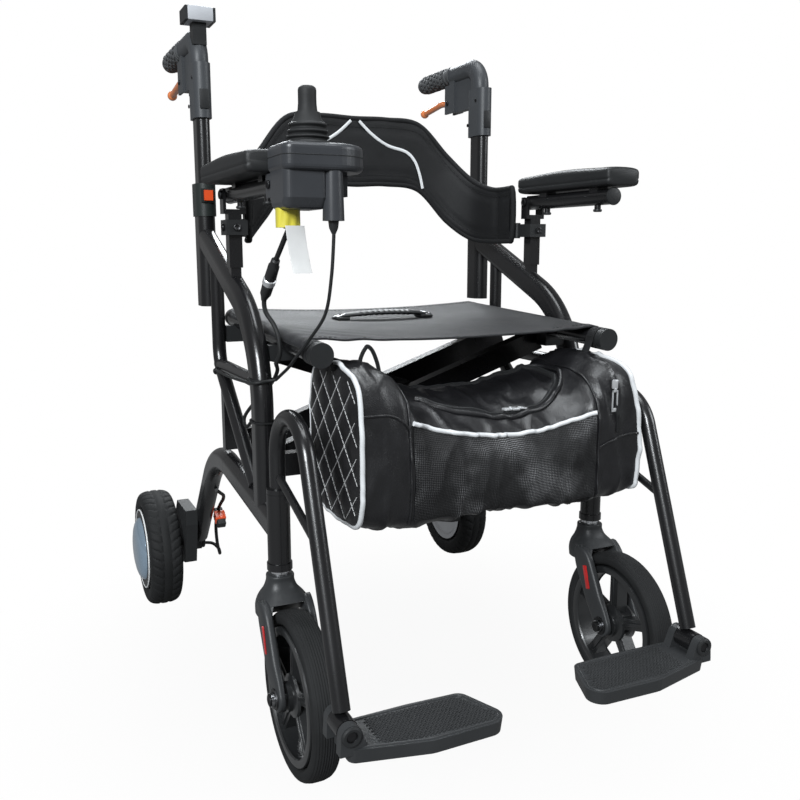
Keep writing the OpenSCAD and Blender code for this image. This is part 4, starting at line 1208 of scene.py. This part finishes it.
class CHAIR_OT_joystick(Dresser, bpy.types.Operator):
    """Joystick trim: case seam, keys, bellows boot and smooth leads with their plug, wrap and tag"""

    bl_idname = "chair.joystick"
    bl_label = "Joystick"

    def execute(self, context):
        self.boot("boot_bellows_lower", "boot_lower", 743.2, 11.0, 25.0, 23.5, "armrest_left", "stick_gimbal")
        self.boot("boot_bellows_upper", "boot_upper", 754.0, 14.0, 23.0, 21.0, "stick_gimbal", "stick", 10.0)
        knob = [(0, 0), (0, 0.0128), (0.003, 0.0137), (0.007, 0.0132), (0.013, 0.0108), (0.02, 0.0101), (0.028, 0.01),
                (0.034, 0.0101), (0.0365, 0.0094), (0.0385, 0.007), (0.0393, 0)]
        spun_piece("stick_sleeve", knob, at(STICK_X, 0, 766.9), (0, 0, 1), 48, "boot_rubber", "stick",
                   "plastic_black", 60)
        collar = [(0, 0.0232), (0.0012, 0.0226), (0.0034, 0.0232), (0.0036, 0.0252), (0.002, 0.0266), (0, 0.0268)]
        spun_piece("stick_collar", collar, at(STICK_X, 0, 743), (0, 0, 1), 64, "black_plastic", "armrest_left",
                   "plastic_black")
        bm = bmesh.new()
        for x, y in ((-176, -14), (-172, 12), (-186, 30)):
            disc(bm, at(x, y, 743), (0, 0, 1), 0.0055, 0.0016, 0.0006, 24)
        from_bmesh("stick_keys", bm, "grey_plastic", "armrest_left", "plastic_grey")
        screws = [(at(-247, y, 743), (0, 0, 1), 0.003, 0.001) for y in (-28, 18)]
        screw_set("stick_screws", "armrest_left", screws + [(at(-252, 37, 703), (-1, 0, 0), 0.005, 0.003)])
        seam = []
        for i in range(120):
            (_, x, y, r), way = hull_reach(((-200, 2, 44), (-246, -28, 12), (-246, 18, 12)), math.tau * i / 120)
            seam.append(at(x + way.x * r, y + way.y * r, 730))
        cord_piece("case_seam", [seam], 0.0011, "black_plastic", "armrest_left", "plastic_black", 1, True)
        self.leads()
        return {"FINISHED"}

    def boot(self, name, node, base, tall, wide, narrow, carrier, follower, cone=0.0):
        folds = 2
        outer = []
        for i in range(folds * 12 + 1):
            share = i / (folds * 12)
            ridge = 0.5 - 0.5 * math.cos(share * folds * math.tau)
            radius = wide + (narrow - wide) * share - 3.2 * (1 - ridge)
            outer.append((share * tall / 1000, radius / 1000))
        if cone:
            outer += [((tall + 0.4 * cone) / 1000, 0.0152), ((tall + cone) / 1000, 0.0136)]
        inner = [(a, r - 0.0022) for a, r in reversed(outer)]
        piece = spun_piece(name, outer + inner, at(STICK_X, 0, base), (0, 0, 1), 64, "boot_rubber", None, "cable", 70)
        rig.replaces(piece, node)
        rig.blend(piece, carrier, follower, start=at(STICK_X, 0, base), end=at(STICK_X, 0, base + tall))

    def leads(self):
        thin, thin_path = self.lead_piece("stick_lead_thin", (
            (-200, -28, 662), (-200, -28, 645), (-202, -24, 600), (-206, -14, 560), (-219, 4, 530),
            (-226, 30, 508), (-226, 60, 492), (-226, 88, 480), (-228, 108, 470)), 0.004)
        thick, thick_path = self.lead_piece("stick_lead_plugged", (
            (-238, 4, 674), (-238, 6, 660), (-239, 30, 640), (-240, 62, 615), (-240, 85, 594), (-240, 108, 573),
            (-238, 112, 556), (-230, 106, 540), (-226, 100, 525), (-225, 98, 505), (-228, 106, 490)), 0.006)
        parts = [thin, thick]
        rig.replaces(thin, "joystick_leads")
        way = (at(-240, 108, 573) - at(-240, 61, 616)).normalized()
        start = at(-240, 61, 616)
        plug = [(-0.006, 0.0032), (-0.004, 0.0052), (0.004, 0.0056), (0.006, 0.0068), (0.026, 0.0072), (0.027, 0.0064),
                (0.039, 0.0064), (0.04, 0.0072), (0.056, 0.0068), (0.06, 0.0054), (0.068, 0.0034), (0.068, 0.0),
                (-0.006, 0.0)]
        parts.append(spun_piece("lead_plug", plug, start, way, 40, "black_plastic", None, "cable"))
        ring = [(0.028, 0.0066), (0.029, 0.0079), (0.037, 0.0079), (0.038, 0.0066)]
        parts.append(spun_piece("lead_plug_ring", ring, start, way, 40, "pull_metal", None, "steel"))
        parts += self.tag()
        self.as_cord(thin, thin_path, 0.004)
        self.as_cord(thick, thick_path, 0.006, pieces=parts[2:])
        self.runs()
        for piece in parts:
            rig.blend(piece, "armrest_left", "frame_left", start=at(-230, -10, 665), end=at(-230, 95, 520))
        bm = bmesh.new()
        spun(bm, [(0, 0.0036), (0, 0.008), (-0.006, 0.0086), (-0.02, 0.0086), (-0.022, 0.0036)],
             at(-238, 5, 674.5), (0, 0, 1), 32)
        spun(bm, [(0, 0.0024), (0, 0.006), (-0.008, 0.005), (-0.014, 0.0024)], at(-200, -28, 662.2), (0, 0, 1), 32)
        from_bmesh("lead_reliefs", bm, "black_plastic", "armrest_left", "cable")

    def runs(self):
        """The leads carried on along the side frame, with the straps that hold them."""
        across, path = self.lead_piece("lead_run_thin", (
            (-228, 108, 470), (-237, 112, 468.5), (-248, 112.5, 467), (-254.6, 118, 466), (-256, 136, 464.5),
            (-256, 190, 461), (-255, 250, 458), (-253.6, 310, 457), (-252.6, 334, 455.5), (-249, 346, 449),
            (-240, 349.5, 446.5)), 0.004, "frame_left")
        self.as_cord(across, path, 0.004, "taut")
        loop, path = self.lead_piece("lead_run_thick", (
            (-228, 106, 490), (-223.5, 116, 480), (-223.5, 140, 462), (-227, 176, 440), (-233, 212, 418),
            (-237, 230, 402), (-238, 228, 392), (-238, 212, 392), (-238, 188, 404), (-238, 164, 412),
            (-239, 148, 415)), 0.005, "frame_left")
        self.as_cord(loop, path, 0.005)
        ring = [(1.3 * math.cos(a) / 1000, (11.3 + 1.0 * math.sin(a)) / 1000)
                for a in (i * math.tau / 10 for i in range(10))]
        spun_piece("lead_strap_rear", ring, at(-240, 338.6, 455), (0, -0.655, -0.756), 40, "webbing", "frame_left",
                   "cable")
        turns = [i * math.tau / 48 for i in range(48)]
        bands = [[at(-240 + 14.2 * math.copysign(abs(math.cos(a)) ** 0.6, math.cos(a)),
                     y + 20.6 * math.copysign(abs(math.sin(a)) ** 0.8, math.sin(a)), z) for a in turns]
                 for y, z in ((135.8, 468), (131.4, 414))]
        cord_piece("lead_straps", bands, 0.0026, "webbing", "frame_left", "cable", 2, True)

    def tag(self):
        """Plain yellow wrap round the plug lead and a blank paper tag below it."""
        def wrap(u, v):
            p, q = rounded(*on_square(v), 3.0)
            z = 676 - 21 * u
            crease = 0.5 * math.sin(p * 9 + u * 2)
            return at(-241.5 + p * 13.2, 4 + q * (10.4 - 0.8 * u) + crease * (q < 0), z)
        yellow = loft_piece("lead_wrap", 18, 48, wrap, "wrap_yellow", None, "orange")

        def sheet(u, v):
            p, q = rounded(*on_square(v), 8.0)
            return at(-237 + p * 11 + 9 * u, -6.6 + q * 0.3 + 3.0 * math.sin(u * 2.6) + 0.8 * p * p, 657 - 52 * u)
        return [yellow, loft_piece("lead_tag", 24, 40, sheet, "tag_white", None, "cable")]


class CHAIR_OT_wheels(Dresser, bpy.types.Operator):
    """Tyres with tread, lofted forks, hub caps, reflectors and the motor leads with their plugs"""

    bl_idname = "chair.wheels"
    bl_label = "Wheels"

    def execute(self, context):
        for side, name in SIDES:
            self.caster(side, name)
            self.drive(side, name)
            self.lead(side, name)
        return {"FINISHED"}

    def tyre(self, name, node, body, centre, half, low, high, tread, runs, rounds):
        """A tyre whose tread lowers its outer face, from place across and angle."""
        middle, deep = (low + high) / 2, (high - low) / 2

        def place(u, v):
            turn = u * math.tau
            p, q = rounded(*on_square((v + 0.125) % 1.0), 2.9)
            radius = middle + q * deep
            if q > 0:
                radius -= tread(p, turn) * ease(0.15, 0.5, q)
            return centre + Vector((p * half, radius * math.cos(turn), radius * math.sin(turn))) / 1000
        piece = loft_piece(name, runs, rounds, place, "tyre", body, "tyre", 35, capped=False)
        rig.replaces(piece, node)

    def caster(self, side, name):
        centre = at(side * FRAME_X, 0, WHEEL_R)
        body = "front_wheel_" + name

        def ribs(p, turn):
            return 0.75 * (0.5 - 0.5 * math.cos(p * 11 * math.pi)) if abs(p) < 0.95 else 0.0
        self.tyre("caster_tread_" + name, "caster_tyre_" + name, body, centre, 17, 82.6, WHEEL_R, ribs, 160, 88)
        bm = bmesh.new()
        for face in (-1, 1):
            for steps, profile in (
                    (120, ((0.0152, 0.0722), (0.0172, 0.0735), (0.0176, 0.0785), (0.0168, 0.0822), (0.0148, 0.0828))),
                    (64, ((0.0086, 0.0), (0.0146, 0.0), (0.014, 0.022), (0.012, 0.026), (0.0086, 0.027)))):
                spun(bm, [(face * along, radius) for along, radius in profile], centre, (1, 0, 0), steps)
            for i in range(5):
                turn = Matrix.Rotation(math.tau * i / 5, 4, "X")
                before = set(bm.verts)
                x = face * 0.0092
                slab(bm, (x - 0.0022, -0.0028, 0.02), (x + 0.0022, 0.0028, 0.0735), 0.0012)
                move_new(bm, before, Matrix.Translation(centre) @ turn)
        from_bmesh("caster_rim_trim_" + name, bm, "rim_plastic", body, "rim")

        self.fork(side, name)
        bm = bmesh.new()
        for face in (-1, 1):
            x = side * FRAME_X + face * 34.2
            way = Vector((0, 58, WHEEL_R)).normalized()
            across = Vector((0, way.z, -way.y))
            base = Matrix((across, way, Vector((face, 0, 0)))).transposed().to_4x4()
            before = set(bm.verts)
            slab(bm, (-0.0042, -0.017, -0.0004), (0.0042, 0.017, 0.0012), 0.001)
            lean = Matrix.Rotation(-0.22 * face, 4, "Z")
            move_new(bm, before, Matrix.Translation(at(x, 31, 164)) @ base @ lean)
        from_bmesh("fork_reflectors_" + name, bm, "reflector_red", "caster_" + name, "orange")
        bm = bmesh.new()
        for face in (-1, 1):
            hex_screw(bm, at(side * FRAME_X + face * 37.8, 0, WHEEL_R), (face, 0, 0), 0.0075, 0.0026)
            spun(bm, [(0, 0.0092), (0.0016, 0.0092), (0.0016, 0.0125), (0, 0.013)],
                 at(side * FRAME_X + face * 32, 0, WHEEL_R), (face, 0, 0), 40)
        from_bmesh("caster_axle_caps_" + name, bm, "dark_steel", "caster_" + name, "steel")

    def fork(self, side, name):
        """A fork moulded in one soft flow from its neck over the shoulders to its two arms."""
        marks = [Vector(m) for m in (
            (16.2, 16.2, 72, 230), (17.2, 17.2, 72, 228.6), (17.4, 17.4, 72, 222), (21, 20.5, 70.5, 213),
            (29, 26.5, 66.5, 204), (33.6, 29.5, 62.5, 195), (34.4, 29, 60, 184))]
        bm = bmesh.new()

        def crown(u, v):
            wide, deep, middle, z = blends(marks, u)
            p, q = rounded(*on_square(v), 2.3 + 0.5 * u)
            x, spot = p * wide, Vector((middle + q * deep, z - WHEEL_R))
            if abs(x) < 22 and spot.length < 106.8:
                spot *= 106.8 / spot.length
            return at(side * FRAME_X + x, spot.x, spot.y + WHEEL_R)
        loft(bm, 36, 64, crown)
        way = Vector((58, WHEEL_R)).normalized()
        for face in (-1, 1):

            def arm(u, v):
                s = -16.4 + 134 * u
                wide = math.sqrt(max(16.4 ** 2 - s * s, 0.0)) if s < 0 else 16.4 + 2.6 * s / 118
                wide *= math.sqrt(max(1 - (max(s - 84, 0) / 33.6) ** 2, 0.0))
                p, q = rounded(*on_square(v), 3.2)
                x = 20.9 if p < 0 else 32.2 + 2.1 * ease(12, 40, s)
                x = 26.5 + (x - 26.5) * abs(p)
                return at(side * FRAME_X + face * x, s * way.x + q * wide * way.y,
                          WHEEL_R + s * way.y - q * wide * way.x)
            loft(bm, 60, 40, arm)
        fork = from_bmesh("fork_body_" + name, bm, "grey_plastic", "caster_" + name, "plastic_grey", 50)
        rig.replaces(fork, "caster_fork_" + name)

    def drive(self, side, name):
        centre = at(side * 303, 610, WHEEL_R)
        body = "drive_wheel_" + name

        def blocks(p, turn):
            cut = ((turn * 40 / math.tau + abs(p) * 1.1) % 1.0) < 0.2 and abs(p) > 0.3
            return 1.5 if cut or 0.24 < abs(p) < 0.31 else 0.0
        self.tyre("drive_tread_" + name, "drive_tyre_" + name, body, centre, 27, 68.1, WHEEL_R, blocks, 320, 64)
        cap = [(0.0416, 0.0), (0.0413, 0.018), (0.0405, 0.03), (0.0386, 0.04), (0.0362, 0.047), (0.0325, 0.0525),
               (0.029, 0.0555), (0.0265, 0.0562), (0.0262, 0.0)]
        spun_piece("drive_cap_" + name, cap, centre, (side, 0, 0), 96, "hub_blue", body, "hub_metal", 50)
        bm = bmesh.new()
        spun(bm, [(0.0288, 0.0565), (0.0287, 0.0635), (0.0279, 0.0685), (0.0255, 0.071), (0.022, 0.0565)],
             centre, (side, 0, 0), 96)
        for i in range(6):
            turn = math.tau * (i + 0.5) / 6
            spot = centre + Vector((side * 0.0271, 0.0622 * math.cos(turn), 0.0622 * math.sin(turn)))
            hex_screw(bm, spot, (side, 0, 0), 0.003, 0.0014)
        from_bmesh("drive_cover_" + name, bm, "black_plastic", body, "rim")
        ring = [(0.0276 + 0.0014 * math.cos(a), 0.0692 + 0.0014 * math.sin(a))
                for a in (i * math.tau / 12 for i in range(12))]
        spun_piece("drive_ring_" + name, ring, centre, (side, 0, 0), 120, "tag_white", body, "rim", 80)
        bm = bmesh.new()
        disc(bm, at(side * 226, 610, WHEEL_R), (-side, 0, 0), 0.0135, 0.006, 0.0025, 40)
        disc(bm, at(side * 262, 588, 168), (-side, 0, 0), 0.006, 0.004, 0.0015, 24)
        disc(bm, at(side * 262, 540, 178), (-side, 0, 0), 0.006, 0.004, 0.0015, 24)
        from_bmesh("motor_knobs_" + name, bm, "black_plastic", "frame_" + name, "plastic_black")

    def lead(self, side, name):
        route = ((-226, 612, 96), (-205, 612, 92), (-196, 600, 84), (-200, 575, 84), (-208, 556, 110), (-212, 545, 140),
                 (-214, 530, 165), (-214, 515, 185), (-214, 489, 205), (-214, 475, 214), (-217, 458, 226),
                 (-226, 440, 236), (-236, 424, 246.5))
        marks = [(-side * x, y, z) for x, y, z in route]
        piece, path = self.lead_piece("motor_cable_" + name, marks, 0.0058, "frame_" + name)
        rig.replaces(piece, "motor_lead_" + name)
        plug = []
        for part, low, high, size, finish in (
                ("body", -24, -6, 9.0, "signal_orange"), ("ends", -34, 2, 7.2, "black_plastic")):
            bm = bmesh.new()
            slab(bm, Vector((-size, low, -size * 0.85)) / 1000, Vector((size, high, size * 0.85)) / 1000, 0.0018)
            if part == "body":
                for y in (-20, -15, -10):
                    slab(bm, Vector((-size - 0.7, y - 1, -5)) / 1000, Vector((size + 0.7, y + 1, 5)) / 1000, 0.0005)
            turn = Matrix.Translation(at(side * 214, 516, 184)) @ Matrix.Rotation(math.radians(37), 4, "X")
            bmesh.ops.transform(bm, matrix=turn, verts=bm.verts)
            plug.append(from_bmesh("motor_plug_%s_%s" % (part, name), bm, finish, "frame_" + name,
                                   "orange" if part == "body" else "cable"))
        self.as_cord(piece, path, 0.0058, pieces=plug)


class CHAIR_OT_footplates(Dresser, bpy.types.Operator):
    """Anti-slip tread, rim and open pivot ends of the footplates"""

    bl_idname = "chair.footplates"
    bl_label = "Footplates"

    CORNERS = ((-80, -164.8, 20), (-90, -122.8, 14), (-232, -156.8, 12), (-232, -120.8, 12), (-150, -146.8, 40))

    def inside(self, x, y, inset):
        for i in range(48):
            (far, *_), way = hull_reach(self.CORNERS, math.tau * i / 48)
            if way.x * x + way.y * y > far - inset:
                return False
        return True

    def execute(self, context):
        rim = []
        for i in range(120):
            (_, x, y, r), way = hull_reach(self.CORNERS, math.tau * i / 120)
            rim.append((x + way.x * (r - 5), y + way.y * (r - 5)))
        for side, name in SIDES:
            bm = bmesh.new()
            step, row = 5.4, 0
            y = -184.0
            while y < -106:
                x = -230.0 + (step / 2 if row % 2 else 0)
                while x < -62:
                    near = x < -206 and -170 < y < -110
                    if self.inside(x, y, 9.5) and not near:
                        made = bmesh.ops.create_cube(bm, size=1.0)["verts"]
                        lean = Matrix.Rotation(math.radians(38 if row % 2 else -38), 4, "Z")
                        bmesh.ops.transform(bm, verts=made, matrix=Matrix.Translation(at(-side * x, y, 120.25))
                                            @ lean @ Matrix.Diagonal((0.0052, 0.0021, 0.0013, 1)))
                    x += step
                y += 3.3
                row += 1
            from_bmesh("foot_tread_" + name, bm, "tread_plastic", "footplate_" + name, "plastic_grey", 20)
            route = [at(-side * x, y, 120) for x, y in rim]
            body = "footplate_" + name
            cord_piece("foot_rim_" + name, [route], 0.0026, "grey_plastic", body, "plastic_grey", 2, True)
            ring = [(0.0002, 0.0062), (0.0022, 0.0066), (0.0026, 0.0095), (0.0014, 0.0114), (0.0, 0.0116)]
            spun_piece("foot_pivot_ring_" + name, ring, at(side * FRAME_X, -166.3, 135), (0, -1, 0), 40,
                       "black_plastic", body, "plastic_black")
            screw_set("foot_pivot_bolt_" + name, body, [(at(side * FRAME_X, -165.5, 135), (0, -1, 0), 0.006, 0.0016)])
        return {"FINISHED"}


class CHAIR_OT_handles(Dresser, bpy.types.Operator):
    """Screws, display sleeve, hooks and grip knobs of the handles"""

    bl_idname = "chair.handles"
    bl_label = "Handles"

    def execute(self, context):
        for side, name in SIDES:
            screw_set("handle_screws_" + name, "handle_" + name, [
                (at(side * FRAME_X + face * x, y, z), (face, 0, 0), radius, depth)
                for face in (-1, 1) for x, y, z, radius, depth in (
                    (12.2, 407, 880, 0.003, 0.0018), (13, 432, 842, 0.003, 0.0016), (10, 514, 890, 0.0042, 0.0018))])
            bm = bmesh.new()
            slab(bm, at(side * FRAME_X - 7, 387.5, 834), at(side * FRAME_X + 7, 389.6, 862), 0.0012)
            from_bmesh("handle_hook_" + name, bm, "black_plastic", "handle_" + name, "plastic_black")
            self.ribs(side, name)
        low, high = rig.box("display_unit")
        bm = bmesh.new()
        slab(bm, (low.x + 0.0035, low.y - 0.0008, high.z - 0.0192), high + Vector((-0.0035, 0.0008, 0.0008)), 0.0014)
        from_bmesh("display_sleeve", bm, "display_pale", "handle_left", "display_grey")
        return {"FINISHED"}

    def ribs(self, side, name):
        """Rows of soft knobs round a hand grip."""
        low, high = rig.box("hand_grip_" + name)
        middle, radius = (low + high) / 2, (high.x - low.x) / 2
        bm = bmesh.new()
        for row in range(7):
            y = low.y + (high.y - low.y) * (0.2 + 0.1 * row)
            for i in range(12):
                turn = math.tau * (i + 0.5 * (row % 2)) / 12
                out = Vector((math.cos(turn), 0, math.sin(turn)))
                lie = Vector((0, 0, 1)).rotation_difference(out).to_matrix().to_4x4()
                place = Matrix.Translation(Vector((middle.x, y, middle.z)) + out * (radius - 0.0005))
                flat = Matrix.Diagonal((0.0036, 0.0046, 0.0011, 1))
                bmesh.ops.create_uvsphere(bm, u_segments=12, v_segments=6, radius=1.0, matrix=place @ lie @ flat)
        from_bmesh("grip_knobs_" + name, bm, "grip_rubber", "handle_" + name, "grip_rubber", 80)


FLOOR_MIRRORED, SKY_MIRRORED = 0.12, 0.14  # how much of white the chair's reflections show


class CHAIR_OT_stage(bpy.types.Operator):
    """Floor that fades to white, soft studio light and a camera at the photograph's angle"""

    bl_idname = "chair.stage"
    bl_label = "Stage"

    def execute(self, context):
        scene = context.scene
        bm = bmesh.new()
        bmesh.ops.create_grid(bm, x_segments=4, y_segments=4, size=12)
        mesh = bpy.data.meshes.new("floor")
        bm.to_mesh(mesh)
        bm.free()
        floor = bpy.data.objects.new("floor", mesh)
        scene.collection.objects.link(floor)
        mesh.materials.append(self.floor_finish())
        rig.stage(floor)
        for name, place, size, power in (
                ("key", (-2.5, -2.5, 2.2), 1.3, 185), ("fill", (2.8, -1.8, 1.9), 1.4, 45),
                ("back", (0.6, 2.8, 2.7), 1.6, 105), ("top", (0.0, -0.2, 3.4), 1.8, 70)):
            lamp = bpy.data.lights.new(name, "AREA")
            lamp.energy, lamp.size, lamp.color = power, size, (0.93, 0.97, 1.0)
            light = bpy.data.objects.new(name, lamp)
            light.location = place
            light.rotation_euler = (Vector((0, 0, 0.45)) - Vector(place)).to_track_quat("-Z", "Y").to_euler()
            scene.collection.objects.link(light)
        self.world(scene)
        lens = bpy.data.cameras.new("camera")
        lens.lens, lens.sensor_width = 38.9, 36.0
        camera = bpy.data.objects.new("camera", lens)
        camera.location = (-0.544, -1.191, 0.633)
        camera.rotation_euler = (math.radians(90 - 9.98), 0, math.radians(-25.21))
        scene.collection.objects.link(camera)
        scene.camera = camera
        scene.view_settings.view_transform = "Standard"
        return {"FINISHED"}

    def floor_finish(self):
        """Dark floor in the light, white to the camera and a little of it in reflections."""
        f = Finish("floor_white", roughness=0.9, specular_ior_level=0.1)
        f.feed(base_color=f.mix(f.cloud(2.0), (0.11, 0.11, 0.11), (0.13, 0.13, 0.13)))
        far = f.node("ShaderNodeVectorMath", {"operation": "LENGTH"}, {0: f.coords()}, 1)
        fade = f.node("ShaderNodeMapRange", {"interpolation_type": "SMOOTHSTEP"}, {
            0: far, 1: 0.1, 2: 0.7, 3: 0.94, 4: 1.0})
        seen = f.node("ShaderNodeLightPath", output="Is Camera Ray")
        white = f.tree.nodes.new("ShaderNodeEmission")
        pick = f.tree.nodes.new("ShaderNodeMixShader")
        mirrored = f.node("ShaderNodeLightPath", output="Is Glossy Ray")
        f.tree.links.new((fade * seen + FLOOR_MIRRORED * mirrored).socket, pick.inputs[0])
        f.tree.links.new(f.shader.outputs[0], pick.inputs[1])
        f.tree.links.new(white.outputs[0], pick.inputs[2])
        out = next(n for n in f.tree.nodes if n.type == "OUTPUT_MATERIAL")
        f.tree.links.new(pick.outputs[0], out.inputs[0])
        return f.material

    def world(self, scene):
        """White to the camera, a little of it in reflections, and soft light to everything else."""
        world = bpy.data.worlds.new("studio")
        world.use_nodes = True
        tree = world.node_tree
        tree.nodes.clear()
        ray = tree.nodes.new("ShaderNodeLightPath")
        soft = tree.nodes.new("ShaderNodeBackground")
        soft.inputs["Color"].default_value = (0.95, 0.97, 1.0, 1)
        soft.inputs["Strength"].default_value = 0.1
        plain = tree.nodes.new("ShaderNodeBackground")
        plain.inputs["Color"].default_value = (1, 1, 1, 1)
        pick = tree.nodes.new("ShaderNodeMixShader")
        out = tree.nodes.new("ShaderNodeOutputWorld")
        share = tree.nodes.new("ShaderNodeMath")
        share.operation = "MULTIPLY_ADD"
        share.inputs[1].default_value = SKY_MIRRORED
        tree.links.new(ray.outputs["Is Glossy Ray"], share.inputs[0])
        tree.links.new(ray.outputs["Is Camera Ray"], share.inputs[2])
        tree.links.new(share.outputs[0], pick.inputs[0])
        tree.links.new(soft.outputs[0], pick.inputs[1])
        tree.links.new(plain.outputs[0], pick.inputs[2])
        tree.links.new(pick.outputs[0], out.inputs[0])
        scene.world = world


class CHAIR_PT_panel(bpy.types.Panel):
    """Lists the chair's operators and settings in the sidebar."""

    bl_label = "Rollator chair"
    bl_idname = "CHAIR_PT_panel"
    bl_space_type = "VIEW_3D"
    bl_region_type = "UI"
    bl_category = "Chair"

    def draw(self, context):
        layout = self.layout
        for group in (context.scene.chair_sizes, context.scene.chair_colours):
            box = layout.box()
            for name in group.__annotations__:
                box.prop(group, name)
        for step in STEPS:
            layout.operator(step.bl_idname)


STEPS = (CHAIR_OT_finishes, CHAIR_OT_seat, CHAIR_OT_band, CHAIR_OT_bag, CHAIR_OT_arm_pads, CHAIR_OT_joystick,
         CHAIR_OT_wheels, CHAIR_OT_footplates, CHAIR_OT_handles, CHAIR_OT_stage)
CLASSES = (ChairColours, ChairSizes) + STEPS + (CHAIR_PT_panel,)


def register():
    for kind in CLASSES:
        bpy.utils.register_class(kind)
    bpy.types.Scene.chair_colours = bpy.props.PointerProperty(type=ChairColours)
    bpy.types.Scene.chair_sizes = bpy.props.PointerProperty(type=ChairSizes)


def unregister():
    del bpy.types.Scene.chair_sizes
    del bpy.types.Scene.chair_colours
    for kind in reversed(CLASSES):
        bpy.utils.unregister_class(kind)


def main():
    register()
    bpy.ops.chair.finishes()
    bpy.ops.chair.seat()
    bpy.ops.chair.band()
    bpy.ops.chair.bag()
    bpy.ops.chair.arm_pads()
    bpy.ops.chair.joystick()
    bpy.ops.chair.wheels()
    bpy.ops.chair.footplates()
    bpy.ops.chair.handles()
    bpy.ops.chair.stage()
    with open("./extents.json", "w") as out:
        json.dump({"cad": [list(c) for c in CAD_BOX], "visual": [list(c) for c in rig.bounds()]}, out)


if __name__ == "__main__":
    main()
